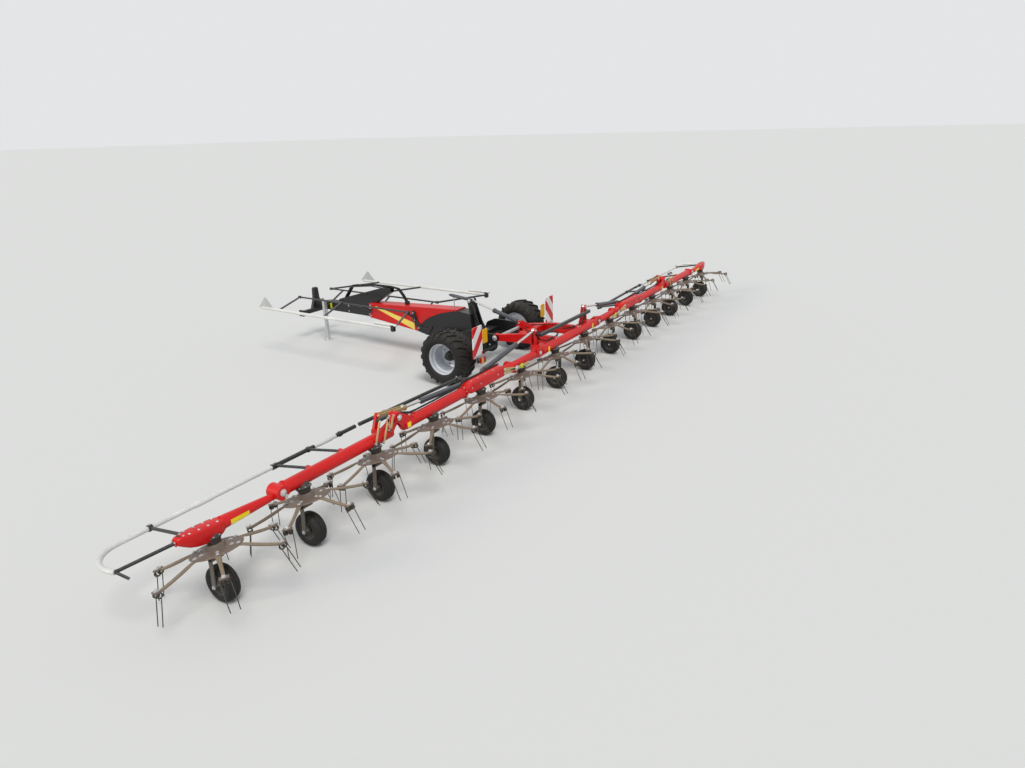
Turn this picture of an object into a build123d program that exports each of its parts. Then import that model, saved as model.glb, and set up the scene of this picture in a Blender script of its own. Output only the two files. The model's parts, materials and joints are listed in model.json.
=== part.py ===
from build123d import *
import os
from math import cos, radians, sin, tan

os.makedirs("parts", exist_ok=True)

# Trailed hay tedder with fourteen rotors on a folding boom behind a wheeled carrier.
# Millimetres. +X is the machine's right-hand side, +Y its travel direction, +Z up.
# The origin is on the ground, in the middle of the machine's length and width.
# Places named "ahead" are measured forward from the boom's centre line.

# Overall layout
boom_y = -2903.3
rotor_pitch = 1160
beam_z = 820
axle_ahead = 1810
seat_gap = 0.3
pin_clearance = 0.3
side_gap = 3

# Rotors
rotor_tilt = 15
disc_radius = 262
disc_thickness = 10
disc_z = 600
arm_count = 6
arm_width = 40
arm_thickness = 26
arm_inner_radius = 190
arm_outer_radius = 660
arm_drop = 90
holder_radius = 665
holder_length = 44
holder_width = 84
holder_height = 70
tine_thickness = 10
tine_spread = 30
tine_tip_radius = 745
tine_tip_drop = 405
hub_radius = 95
hub_height = 50
spindle_radius = 30
spindle_clearance = 2
spindle_below_disc = 75

# Gauge wheels under the rotors
gauge_radius = 200
gauge_width = 160
gauge_rim_radius = 100
gauge_axle_radius = 14
gauge_leg_gap = 14
gauge_leg_thickness = 14
gauge_leg_width = 60
gauge_behind = 60

# Boom
beam_radius = 108
gearbox_radius = 130
knuckle_radius = 110
knuckle_clearance = 10
knuckle_pin_radius = 24
tongue_thickness = 60
ear_thickness = 26
wing_hinge_x = 1160
fold_hinge_x = 4780
fold_hinge_rise = 150
fold_ear_radius = 70
fold_root_length = 140
float_boss_x = 2200
float_boss_radius = 115
housing_outer_x = 3300
housing_depth = 240
housing_height = 240
end_boss_x = 6760
end_housing_inner_x = 7180
end_housing_outer_x = 7880

# Guards in front of the rotors
guard_ahead = 700
guard_z = 700
guard_radius = 27
guard_end_x = 8400
guard_bend = 180
guard_arm_radius = 20
wing_guard_inner_x = 2530
wing_guard_outer_x = 4640
outer_guard_inner_x = 4960

# Running gear
tyre_radius = 505
tyre_width = 490
tyre_shoulder = 90
rim_radius = 286
rim_width = 400
track_width = 2560
axle_half_height = 60
axle_stub_radius = 45
hub_flange_radius = 140

# Drawbar, mast and lift
drawbar_front_ahead = 6380
swivel_radius = 30
lift_hinge_ahead = 1300
lift_hinge_z = 720
lift_hinge_half_width = 420
lift_pin_radius = 30
lift_eye_radius = 75
mast_pin_ahead = 2140
mast_pin_z = 1260
mast_gap = 102
carrier_pin_ahead = 1040
carrier_pin_z = 940

# Lift, wing and fold cylinders
rod_radius = 20
barrel_radius = 40
eye_radius = 38
eye_width = 44
eye_pin_radius = 16
lug_thickness = 14
barrel_start = 64
cylinder_end_room = 75
rod_end_room = 100
lift_closed_length = 692
wing_pin_x = 960
wing_pin_z = 1130
wing_barrel_x = 2560
wing_barrel_z = 880
cylinder_ahead = 170
wing_closed_length = 1099
fold_barrel_x = 3060
fold_barrel_z = 830
fold_rod_x = 4420
fold_rod_z = 930
fold_closed_length = 1075
link_pin_out = 140
link_pin_up = 30
link_plate_thickness = 14
link_eye_radius = 32

# Parking jack
jack_x = -230
jack_ahead = 6050
jack_size = 60
jack_wall = 8
jack_top_z = 900
jack_foot_radius = 110
jack_foot_thickness = 14

# Hitch
hitch_ahead = 6560
hitch_z = 600
hitch_pin_radius = 18.3
hitch_shoulder = 482
hitch_pin_length = 120
pto_z = 760
pto_stub_radius = 17.4
pto_stub_length = 90

# Boards, lamps and side guards
board_width = 282
board_height = 564
board_thickness = 20
board_x = 1300
board_ahead = 1120
board_z = 880
lamp_x = 1180
lamp_z = 520
side_guard_x = 1550
side_guard_rail_x = 480
side_guard_z = 980
side_guard_rear_ahead = 2560
side_guard_front_ahead = 6250
side_guard_radius = 30

fold_hinge_z = beam_z + fold_hinge_rise
disc_behind = (beam_z - disc_z) * tan(radians(rotor_tilt))
disc_y = boom_y - disc_behind
gauge_y = boom_y - gauge_behind
axle_y = boom_y + axle_ahead
axle_z = tyre_radius
lift_y = boom_y + lift_hinge_ahead
ear_offset = tongue_thickness / 2 + side_gap
beam_flat = beam_radius * cos(radians(22.5))
side_rotor_x = [rotor_pitch * (step + 0.5) for step in range(7)]


def save(part, name):
    part.label = name
    export_step(part, f"parts/{name}.step")


def block(low, high, mode=Mode.ADD):
    """Box between its lowest and its highest corner, in the open part."""
    centre = [(a + b) / 2 for a, b in zip(low, high)]
    sizes = [b - a for a, b in zip(low, high)]
    with Locations(tuple(centre)):
        Box(*sizes, mode=mode)


def round_bar(start, end, radius, mode=Mode.ADD):
    """Round bar from one point to another, in the open part."""
    way = Vector(*end) - Vector(*start)
    with BuildSketch(Plane(origin=start, z_dir=way)) as section:
        Circle(radius)
    extrude(section.sketch, amount=way.length, mode=mode)


def plate_xz(points, y_low, y_high, mode=Mode.ADD):
    """Plate with an outline in X and Z, between two Y values, in the open part."""
    face_plane = Plane(origin=(0, y_high, 0), x_dir=(1, 0, 0), z_dir=(0, -1, 0))
    with BuildSketch(face_plane) as face:
        with BuildLine():
            Polyline(*points, close=True)
        make_face()
    extrude(face.sketch, amount=y_high - y_low, mode=mode)


def plate_yz(points, x_low, x_high, mode=Mode.ADD):
    """Plate with an outline in Y and Z, between two X values, in the open part."""
    face_plane = Plane(origin=(x_low, 0, 0), x_dir=(0, 1, 0), z_dir=(1, 0, 0))
    with BuildSketch(face_plane) as face:
        with BuildLine():
            Polyline(*points, close=True)
        make_face()
    extrude(face.sketch, amount=x_high - x_low, mode=mode)


def beam_along_x(x_low, x_high, radius):
    """Eight-sided boom tube with flat top and front, in the open part."""
    section_plane = Plane(origin=(x_low, boom_y, beam_z), x_dir=(0, 1, 0), z_dir=(1, 0, 0))
    with BuildSketch(section_plane) as section:
        RegularPolygon(radius, 8, major_radius=True, rotation=22.5)
    extrude(section.sketch, amount=x_high - x_low)


def tube_through(points, radius, bend):
    """Round tube along straight runs joined by tangent arcs, in the open part."""
    with BuildLine() as route:
        FilletPolyline(*points, radius=bend)
    way = Vector(*points[1]) - Vector(*points[0])
    with BuildSketch(Plane(origin=points[0], z_dir=way)) as section:
        Circle(radius)
    sweep(section.sketch, path=route.line)


def rotor_carrier(x):
    """Gearbox, spindle and gauge-wheel leg of one rotor, on the tilted rotor axis."""
    lean = Vector(0, sin(radians(rotor_tilt)), cos(radians(rotor_tilt)))
    disc_centre = Vector(x, disc_y, disc_z)
    hub_top = disc_thickness / 2 + hub_height + seat_gap
    up_to_beam = (beam_z - disc_z) / cos(radians(rotor_tilt))
    gearbox_base = disc_centre + lean * hub_top
    gearbox_top = disc_centre + lean * up_to_beam
    round_bar(tuple(gearbox_base), tuple(gearbox_top), gearbox_radius)
    spindle_end = disc_centre - lean * spindle_below_disc
    round_bar(tuple(spindle_end), tuple(gearbox_top), spindle_radius)
    leg_x = x + gauge_width / 2 + gauge_leg_gap
    cross_low = (x - spindle_radius, spindle_end.Y - spindle_radius, spindle_end.Z - 22)
    cross_high = (leg_x + gauge_leg_thickness, spindle_end.Y + spindle_radius, spindle_end.Z + 6)
    block(cross_low, cross_high)
    half = gauge_leg_width / 2
    leg_outline = [
        (spindle_end.Y - half, spindle_end.Z + 6),
        (spindle_end.Y + half, spindle_end.Z + 6),
        (gauge_y + half, gauge_radius),
        (gauge_y, gauge_radius - half),
        (gauge_y - half, gauge_radius),
    ]
    plate_yz(leg_outline, leg_x, leg_x + gauge_leg_thickness)
    axle_start = (x - gauge_width / 2, gauge_y, gauge_radius)
    round_bar(axle_start, (leg_x + 1, gauge_y, gauge_radius), gauge_axle_radius)


def cylinder_parts(base, tip, pin_axis, closed_length):
    """Barrel and rod of a cylinder at rest between its base pin and its rod eye."""
    base_point = Vector(*base)
    way = (Vector(*tip) - base_point).normalized()
    pin_way = Vector(*pin_axis)
    barrel_length = closed_length - cylinder_end_room
    rod_length = closed_length - rod_end_room
    half_eye = pin_way * (eye_width / 2)
    with BuildPart() as barrel:
        round_bar(tuple(base_point - half_eye), tuple(base_point + half_eye), eye_radius)
        round_bar(base, tuple(base_point + way * barrel_start), rod_radius)
        round_bar(tuple(base_point + way * barrel_start), tuple(base_point + way * barrel_length), barrel_radius)
        gland_start = base_point + way * (barrel_length - 50)
        round_bar(tuple(gland_start), tuple(base_point + way * barrel_length), barrel_radius + 5)
        bore_start = base_point + way * (barrel_start + 20)
        bore_end = base_point + way * (barrel_length + 1)
        bore_radius = rod_radius + pin_clearance
        round_bar(tuple(bore_start), tuple(bore_end), bore_radius, Mode.SUBTRACT)
        hole_half = pin_way * (eye_width / 2 + 1)
        hole_radius = eye_pin_radius + pin_clearance
        hole_start = tuple(base_point - hole_half)
        round_bar(hole_start, tuple(base_point + hole_half), hole_radius, Mode.SUBTRACT)
    tip_point = Vector(*tip)
    with BuildPart() as rod:
        round_bar(tuple(tip_point - half_eye), tuple(tip_point + half_eye), eye_radius)
        round_bar(tuple(tip_point - way * rod_length), tuple(tip_point - way * 20), rod_radius)
    return barrel.part, rod.part


def pin_through(centre, axis, length, radius=eye_pin_radius):
    """Pin centred on a point, in the open part."""
    half = Vector(*axis) * (length / 2)
    round_bar(tuple(Vector(*centre) - half), tuple(Vector(*centre) + half), radius)


def save_pair(right_part, name):
    """Write the right-hand piece and its mirror image on the left."""
    left_part = mirror(right_part, about=Plane.YZ)
    save(right_part, f"{name}_right")
    save(left_part, f"{name}_left")


# Rotor, built upright around the origin and then leaned forward under its gearbox
arm_top = -disc_thickness / 2
with BuildPart() as rotor_arm:
    arm_outline = [
        (arm_inner_radius, arm_top),
        (disc_radius, arm_top),
        (arm_outer_radius, arm_top - arm_drop),
        (arm_outer_radius, arm_top - arm_drop - arm_thickness),
        (disc_radius, arm_top - arm_thickness),
        (arm_inner_radius, arm_top - arm_thickness),
    ]
    plate_xz(arm_outline, -arm_width / 2, arm_width / 2)
    holder_top = arm_top - arm_drop + 20
    holder_low = (holder_radius - holder_length / 2, -holder_width / 2, holder_top - holder_height)
    holder_high = (holder_radius + holder_length / 2, holder_width / 2, holder_top)
    block(holder_low, holder_high)
    tine_top = holder_top - holder_height + 10
    for side in (-1, 1):
        tine_middle = side * tine_spread
        tine_outline = [
            (holder_radius - tine_thickness / 2, tine_top),
            (holder_radius + tine_thickness / 2, tine_top),
            (tine_tip_radius, -tine_tip_drop),
            (tine_tip_radius - tine_thickness, -tine_tip_drop),
        ]
        plate_xz(tine_outline, tine_middle - tine_thickness / 2, tine_middle + tine_thickness / 2)

with BuildPart() as rotor:
    round_bar((0, 0, -disc_thickness / 2), (0, 0, disc_thickness / 2), disc_radius)
    round_bar((0, 0, 0), (0, 0, disc_thickness / 2 + hub_height), hub_radius)
    with PolarLocations(0, arm_count):
        add(rotor_arm.part)
    bore_radius = spindle_radius + spindle_clearance
    round_bar((0, 0, -50), (0, 0, hub_height + 50), bore_radius, Mode.SUBTRACT)

rotor_xs = sorted([-x for x in side_rotor_x] + side_rotor_x)
for number, x in enumerate(rotor_xs, start=1):
    phase = 0 if number % 2 else 180 / arm_count
    place = Location((x, disc_y, disc_z), (-rotor_tilt, 0, phase))
    save(rotor.part.moved(place), f"rotor_{number:02d}")

# Gauge wheel, built on the X axis; the wheels of one boom section share an axis
with BuildPart() as gauge_wheel:
    half = gauge_width / 2
    with BuildSketch(Plane.XY) as section:
        with BuildLine():
            Polyline(
                (-half, gauge_axle_radius + pin_clearance),
                (half, gauge_axle_radius + pin_clearance),
                (half, gauge_axle_radius + 26),
                (half - 45, gauge_axle_radius + 30),
                (half - 45, gauge_rim_radius),
                (half, gauge_rim_radius + 20),
                (half, gauge_radius - 45),
                (half - 45, gauge_radius),
                (-half + 45, gauge_radius),
                (-half, gauge_radius - 45),
                (-half, gauge_rim_radius + 20),
                (-half + 45, gauge_rim_radius),
                (-half + 45, gauge_axle_radius + 30),
                (-half, gauge_axle_radius + 26),
                close=True,
            )
        make_face()
    revolve(section.sketch, axis=Axis.X)

# Boom sections: name, rotor x values
wheel_groups = {
    "gauge_wheels_centre": [-side_rotor_x[0], side_rotor_x[0]],
    "gauge_wheels_wing_right": side_rotor_x[1:4],
    "gauge_wheels_wing_left": [-x for x in side_rotor_x[1:4]],
    "gauge_wheels_outer_right": side_rotor_x[4:7],
    "gauge_wheels_outer_left": [-x for x in side_rotor_x[4:7]],
}
for name, wheel_xs in wheel_groups.items():
    with BuildPart() as wheels:
        with Locations([(x, gauge_y, gauge_radius) for x in wheel_xs]):
            add(gauge_wheel.part)
    save(wheels.part, name)

# Centre beam with two gearboxes, a clevis for each wing and the wing cylinders' lugs
centre_half = wing_hinge_x - knuckle_radius - knuckle_clearance
with BuildPart() as centre_beam:
    beam_along_x(-centre_half, centre_half, beam_radius)
    for side in (-1, 1):
        rotor_carrier(side * side_rotor_x[0])
        hinge = (side * wing_hinge_x, boom_y, beam_z)
        for ear_side in (-1, 1):
            inner = boom_y + ear_side * ear_offset
            outer = boom_y + ear_side * (ear_offset + ear_thickness)
            y_low, y_high = min(inner, outer), max(inner, outer)
            ear_start = (side * wing_hinge_x, y_low, beam_z)
            round_bar(ear_start, (side * wing_hinge_x, y_high, beam_z), knuckle_radius)
            root_x = side * (centre_half - 40)
            hinge_x = side * wing_hinge_x
            low_x, high_x = min(root_x, hinge_x), max(root_x, hinge_x)
            half_height = beam_radius * 0.85
            block((low_x, y_low, beam_z - half_height), (high_x, y_high, beam_z + half_height))
        pin_length = 2 * (ear_offset + ear_thickness) + 30
        pin_through(hinge, (0, 1, 0), pin_length, knuckle_pin_radius)
        lug_near = cylinder_ahead - eye_width / 2 - side_gap - lug_thickness
        lug_outline = [
            (side * (wing_pin_x + 60), beam_z - 60),
            (side * (wing_pin_x - 160), beam_z - 60),
            (side * (wing_pin_x - eye_radius), wing_pin_z + eye_radius),
            (side * (wing_pin_x + eye_radius), wing_pin_z + eye_radius),
        ]
        plate_xz(lug_outline, boom_y + lug_near, boom_y + lug_near + lug_thickness)
        far = lug_near + lug_thickness + eye_width + 2 * side_gap
        plate_xz(lug_outline, boom_y + far, boom_y + far + lug_thickness)
        for face in (lug_near, far + lug_thickness):
            head = (side * wing_pin_x, boom_y + face, wing_pin_z)
            pin_through(head, (0, 1, 0), 20, eye_pin_radius + 8)
        foot_x = sorted([side * (wing_pin_x + 50), side * (wing_pin_x - 150)])
        foot_low = (foot_x[0], boom_y, beam_z - 60)
        block(foot_low, (foot_x[1], boom_y + far + lug_thickness, beam_z + 60))
save(centre_beam.part, "centre_beam")

# Carrier frame between the lift hinge and the centre beam
with BuildPart() as carrier_frame:
    for side in (-1, 1):
        arm_low = boom_y + beam_flat + seat_gap
        arm_outline = [
            (lift_y, lift_hinge_z - lift_eye_radius),
            (arm_low, beam_z - 95),
            (arm_low, beam_z + 95),
            (lift_y - 60, lift_hinge_z + lift_eye_radius + 20),
            (lift_y, lift_hinge_z + lift_eye_radius),
        ]
        x_low = side * lift_hinge_half_width - 40
        plate_yz(arm_outline, x_low, x_low + 80)
        eye_start = (x_low, lift_y, lift_hinge_z)
        round_bar(eye_start, (x_low + 80, lift_y, lift_hinge_z), lift_eye_radius)
        hole_radius = lift_pin_radius + pin_clearance
        hole_start = (x_low - 1, lift_y, lift_hinge_z)
        round_bar(hole_start, (x_low + 81, lift_y, lift_hinge_z), hole_radius, Mode.SUBTRACT)
    cross_ahead = boom_y + carrier_pin_ahead
    half_width = lift_hinge_half_width - 40
    block((-half_width, cross_ahead - 330, beam_z - 70), (half_width, cross_ahead - 190, beam_z + 50))
    for side in (-1, 1):
        x_low = side * (eye_width / 2 + side_gap + lug_thickness / 2) - lug_thickness / 2
        lug_outline = [
            (cross_ahead - 330, beam_z - 70),
            (cross_ahead - 190, beam_z - 70),
            (cross_ahead + eye_radius, carrier_pin_z - eye_radius),
            (cross_ahead + eye_radius, carrier_pin_z + eye_radius),
            (cross_ahead - eye_radius, carrier_pin_z + eye_radius),
            (cross_ahead - 330, beam_z + 50),
        ]
        plate_yz(lug_outline, x_low, x_low + lug_thickness)
    pin_length = eye_width + 2 * side_gap + 2 * lug_thickness + 20
    pin_through((0, cross_ahead, carrier_pin_z), (1, 0, 0), pin_length)
save(carrier_frame.part, "carrier_frame")

# Wing boom: sections with the second, third and fourth rotor of a side
wing_start = wing_hinge_x + knuckle_radius + knuckle_clearance
fold_root = fold_hinge_x - fold_root_length
with BuildPart() as wing_boom:
    beam_along_x(wing_start, float_boss_x, beam_radius)
    tongue_half = tongue_thickness / 2
    tongue_low = (wing_hinge_x, boom_y - tongue_half, beam_z - beam_radius * 0.85)
    block(tongue_low, (wing_start + 40, boom_y + tongue_half, beam_z + beam_radius * 0.85))
    tongue_start = (wing_hinge_x, boom_y - tongue_half, beam_z)
    round_bar(tongue_start, (wing_hinge_x, boom_y + tongue_half, beam_z), knuckle_radius)
    hole_radius = knuckle_pin_radius + pin_clearance
    hole_start = (wing_hinge_x, boom_y - tongue_half - 1, beam_z)
    hole_end = (wing_hinge_x, boom_y + tongue_half + 1, beam_z)
    round_bar(hole_start, hole_end, hole_radius, Mode.SUBTRACT)
    boss_half = housing_depth / 2
    boss_start = (float_boss_x, boom_y - boss_half, beam_z)
    round_bar(boss_start, (float_boss_x, boom_y + boss_half, beam_z), float_boss_radius)
    housing_outline = [
        (float_boss_x, beam_z - housing_height / 2),
        (housing_outer_x - 90, beam_z - housing_height / 2),
        (housing_outer_x, beam_z - housing_height / 2 + 60),
        (housing_outer_x, beam_z + housing_height / 2 - 60),
        (housing_outer_x - 90, beam_z + housing_height / 2),
        (float_boss_x, beam_z + housing_height / 2),
    ]
    plate_xz(housing_outline, boom_y - boss_half, boom_y + boss_half)
    tube_start = (housing_outer_x - 10, boom_y, beam_z)
    round_bar(tube_start, (fold_root, boom_y, beam_z), beam_radius - 5)
    for x in side_rotor_x[1:4]:
        rotor_carrier(x)
    for ear_side in (-1, 1):
        inner = boom_y + ear_side * ear_offset
        outer = boom_y + ear_side * (ear_offset + ear_thickness)
        y_low, y_high = min(inner, outer), max(inner, outer)
        ear_outline = [
            (fold_root - 160, beam_z - 80),
            (fold_root, beam_z - 80),
            (fold_hinge_x + 10, fold_hinge_z - fold_ear_radius + 4),
            (fold_hinge_x - 20, fold_hinge_z + fold_ear_radius - 4),
            (fold_root - 160, beam_z + 90),
        ]
        plate_xz(ear_outline, y_low, y_high)
        ear_start = (fold_hinge_x, y_low, fold_hinge_z)
        round_bar(ear_start, (fold_hinge_x, y_high, fold_hinge_z), fold_ear_radius)
    pin_length = 2 * (ear_offset + ear_thickness) + 30
    pin_through((fold_hinge_x, boom_y, fold_hinge_z), (0, 1, 0), pin_length, knuckle_pin_radius)
    for pin_x, pin_z in ((wing_barrel_x, wing_barrel_z), (fold_barrel_x, fold_barrel_z)):
        pin_start = (pin_x, boom_y + boss_half - 5, pin_z)
        pin_end = (pin_x, boom_y + cylinder_ahead + eye_width / 2 + 14, pin_z)
        round_bar(pin_start, pin_end, eye_pin_radius)
save_pair(wing_boom.part, "wing_boom")

# Outer boom: sections with the fifth, sixth and seventh rotor of a side
outer_start = fold_hinge_x + fold_root_length
with BuildPart() as outer_boom:
    beam_along_x(outer_start, end_boss_x, beam_radius)
    beam_along_x(end_boss_x, end_housing_inner_x + 20, beam_radius - 8)
    boss_half = housing_depth / 2
    boss_start = (end_boss_x, boom_y - boss_half, beam_z)
    round_bar(boss_start, (end_boss_x, boom_y + boss_half, beam_z), float_boss_radius - 5)
    end_outline = [
        (end_housing_inner_x, beam_z - 80),
        (end_housing_inner_x + 120, beam_z - housing_height / 2 + 10),
        (end_housing_outer_x - 150, beam_z - housing_height / 2 + 10),
        (end_housing_outer_x, beam_z - 40),
        (end_housing_outer_x, beam_z + 40),
        (end_housing_outer_x - 150, beam_z + housing_height / 2 - 10),
        (end_housing_inner_x + 120, beam_z + housing_height / 2 - 10),
        (end_housing_inner_x, beam_z + 80),
    ]
    plate_xz(end_outline, boom_y - boss_half, boom_y + boss_half)
    for x in side_rotor_x[4:7]:
        rotor_carrier(x)
    tongue_outline = [
        (fold_hinge_x - 10, fold_hinge_z - fold_ear_radius + 4),
        (outer_start, beam_z - 80),
        (outer_start + 160, beam_z - 80),
        (outer_start + 160, beam_z + 90),
        (fold_hinge_x + 20, fold_hinge_z + fold_ear_radius - 4),
    ]
    tongue_half = tongue_thickness / 2
    plate_xz(tongue_outline, boom_y - tongue_half, boom_y + tongue_half)
    tongue_start = (fold_hinge_x, boom_y - tongue_half, fold_hinge_z)
    tongue_end = (fold_hinge_x, boom_y + tongue_half, fold_hinge_z)
    round_bar(tongue_start, tongue_end, fold_ear_radius)
    hole_radius = knuckle_pin_radius + pin_clearance
    hole_start = (fold_hinge_x, boom_y - tongue_half - 1, fold_hinge_z)
    hole_end = (fold_hinge_x, boom_y + tongue_half + 1, fold_hinge_z)
    round_bar(hole_start, hole_end, hole_radius, Mode.SUBTRACT)
    lug_x = fold_hinge_x + link_pin_out
    lug_z = fold_hinge_z + link_pin_up
    lug_low = boom_y + cylinder_ahead - eye_width / 2
    lug_high = boom_y + cylinder_ahead + eye_width / 2
    lug_outline = [
        (lug_x - link_eye_radius, lug_z + link_eye_radius),
        (lug_x - link_eye_radius, lug_z - 60),
        (lug_x + 10, beam_z - 20),
        (lug_x + 130, beam_z - 20),
        (lug_x + link_eye_radius, lug_z + link_eye_radius),
    ]
    plate_xz(lug_outline, lug_low, lug_high)
    block((lug_x + 20, boom_y + 60, beam_z - 20), (lug_x + 120, lug_high, beam_z + 40))
    pin_length = eye_width + 2 * side_gap + 2 * link_plate_thickness + 20
    pin_through((lug_x, boom_y + cylinder_ahead, lug_z), (0, 1, 0), pin_length)
save_pair(outer_boom.part, "outer_boom")

# Fold link: two flat bars from the outer boom's lug to the fold cylinder's rod eye
link_rise = fold_rod_z - lug_z
link_run = fold_rod_x - lug_x
link_length = (link_run**2 + link_rise**2) ** 0.5
with BuildPart() as fold_link:
    for bar_side in (-1, 1):
        near = bar_side * (eye_width / 2 + side_gap)
        far = bar_side * (eye_width / 2 + side_gap + link_plate_thickness)
        y_low = boom_y + cylinder_ahead + min(near, far)
        y_high = y_low + link_plate_thickness
        normal_x = -link_rise / link_length * link_eye_radius * 0.7
        normal_z = link_run / link_length * link_eye_radius * 0.7
        bar_outline = [
            (lug_x + normal_x, lug_z + normal_z),
            (fold_rod_x + normal_x, fold_rod_z + normal_z),
            (fold_rod_x - normal_x, fold_rod_z - normal_z),
            (lug_x - normal_x, lug_z - normal_z),
        ]
        plate_xz(bar_outline, y_low, y_high)
        for eye_x, eye_z in ((lug_x, lug_z), (fold_rod_x, fold_rod_z)):
            round_bar((eye_x, y_low, eye_z), (eye_x, y_high, eye_z), link_eye_radius)
        hole_radius = eye_pin_radius + pin_clearance
        hole_start = (lug_x, y_low - 1, lug_z)
        round_bar(hole_start, (lug_x, y_high + 1, lug_z), hole_radius, Mode.SUBTRACT)
save_pair(fold_link.part, "fold_link")

# Guard tubes in front of the rotors
guard_y = boom_y + guard_ahead
with BuildPart() as wing_guard:
    round_bar((wing_guard_inner_x, guard_y, guard_z), (wing_guard_outer_x, guard_y, guard_z), guard_radius)
    # Guard arms: x value, distance of the beam's front face
    for arm_x, face_ahead in ((2650, housing_depth / 2), (4260, beam_radius - 5)):
        foot_y = boom_y + face_ahead + seat_gap
        block((arm_x - 35, foot_y, beam_z - 50), (arm_x + 35, foot_y + 12, beam_z + 50))
        round_bar((arm_x, foot_y + 8, beam_z), (arm_x, guard_y, guard_z), guard_arm_radius)
save_pair(wing_guard.part, "wing_guard")

hook_y = boom_y + 240
with BuildPart() as outer_guard:
    guard_route = [
        (outer_guard_inner_x, guard_y, guard_z),
        (guard_end_x - 200, guard_y, guard_z),
        (guard_end_x - guard_radius, guard_y - 200, guard_z),
        (guard_end_x - guard_radius - 60, hook_y, guard_z),
    ]
    tube_through(guard_route, guard_radius, guard_bend)
    # Guard arms: x value, distance of the beam's front face
    for arm_x, face_ahead in ((5640, beam_flat), (6150, beam_flat), (7740, housing_depth / 2)):
        foot_y = boom_y + face_ahead + seat_gap
        block((arm_x - 35, foot_y, beam_z - 40), (arm_x + 35, foot_y + 12, beam_z + 40))
        round_bar((arm_x, foot_y + 8, beam_z), (arm_x, guard_y, guard_z), guard_arm_radius)
    foot_x = end_housing_outer_x + seat_gap
    block((foot_x, boom_y - 40, beam_z - 38), (foot_x + 12, boom_y + 40, beam_z + 38))
    end_start = (foot_x + 12, boom_y, beam_z)
    hook_end = (guard_end_x - guard_radius - 60, hook_y, guard_z)
    round_bar(end_start, hook_end, guard_arm_radius)
save_pair(outer_guard.part, "outer_guard")

# Cylinders
wing_parts = cylinder_parts(
    (wing_barrel_x, boom_y + cylinder_ahead, wing_barrel_z),
    (wing_pin_x, boom_y + cylinder_ahead, wing_pin_z),
    (0, 1, 0),
    wing_closed_length,
)
save_pair(wing_parts[0], "wing_cylinder_barrel")
save_pair(wing_parts[1], "wing_cylinder_rod")
fold_parts = cylinder_parts(
    (fold_barrel_x, boom_y + cylinder_ahead, fold_barrel_z),
    (fold_rod_x, boom_y + cylinder_ahead, fold_rod_z),
    (0, 1, 0),
    fold_closed_length,
)
save_pair(fold_parts[0], "fold_cylinder_barrel")
save_pair(fold_parts[1], "fold_cylinder_rod")
lift_parts = cylinder_parts(
    (0, boom_y + carrier_pin_ahead, carrier_pin_z),
    (0, boom_y + mast_pin_ahead, mast_pin_z),
    (1, 0, 0),
    lift_closed_length,
)
save(lift_parts[0], "lift_cylinder_barrel")
save(lift_parts[1], "lift_cylinder_rod")

# Axle frame: cross tube, stub axles, two rear cheeks with the lift hinge, and the mast
wheel_x = track_width / 2
with BuildPart() as axle_frame:
    cross_half = wheel_x - tyre_width / 2 - 60
    block(
        (-cross_half, axle_y - axle_half_height, axle_z - axle_half_height),
        (cross_half, axle_y + axle_half_height, axle_z + axle_half_height),
    )
    for side in (-1, 1):
        stub_start = (side * (cross_half - 10), axle_y, axle_z)
        round_bar(stub_start, (side * (wheel_x + 30), axle_y, axle_z), axle_stub_radius)
        cheek_x = side * (lift_hinge_half_width + 40 + side_gap + 13)
        cheek_outline = [
            (axle_y + 260, axle_z - 60),
            (axle_y + 260, axle_z + 300),
            (lift_y + 60, lift_hinge_z + 75),
            (lift_y - 50, lift_hinge_z + 50),
            (lift_y - 50, axle_z + 30),
            (lift_y + 60, axle_z - 60),
        ]
        plate_yz(cheek_outline, cheek_x - 13, cheek_x + 13)
    pin_half = lift_hinge_half_width + 40 + side_gap + 26 + 10
    pin_through((0, lift_y, lift_hinge_z), (1, 0, 0), 2 * pin_half, lift_pin_radius)
    block(
        (-lift_hinge_half_width - 40, axle_y + 60, axle_z - 60),
        (lift_hinge_half_width + 40, axle_y + 260, axle_z + 140),
    )
    mast_y = boom_y + mast_pin_ahead
    for side in (-1, 1):
        x_low = side * (mast_gap / 2 + lug_thickness) - lug_thickness
        mast_outline = [
            (axle_y + 60, axle_z + 100),
            (axle_y + 260, axle_z + 100),
            (axle_y + 260, axle_z + 380),
            (mast_y + 60, mast_pin_z + 40),
            (mast_y - 45, mast_pin_z + 40),
            (mast_y - 60, mast_pin_z - 60),
        ]
        plate_yz(mast_outline, x_low, x_low + 2 * lug_thickness)
        head_x = side * (mast_gap / 2 + 2 * lug_thickness)
        pin_through((head_x, mast_y, mast_pin_z), (1, 0, 0), 20, eye_radius - 10)
save(axle_frame.part, "axle_frame")

# Drawbar: deep rear beam, slim front neck, and the rest that carries the hoses
beam_front = boom_y + 4950
with BuildPart() as main_beam:
    main_outline = [
        (axle_y + 260 + seat_gap, axle_z - 60),
        (boom_y + 3580, axle_z - 60),
        (beam_front, 590),
        (beam_front, 900),
        (axle_y + 700, 1000),
        (axle_y + 260 + seat_gap, 840),
    ]
    plate_yz(main_outline, -150, 150)
save(main_beam.part, "main_beam")

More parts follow.
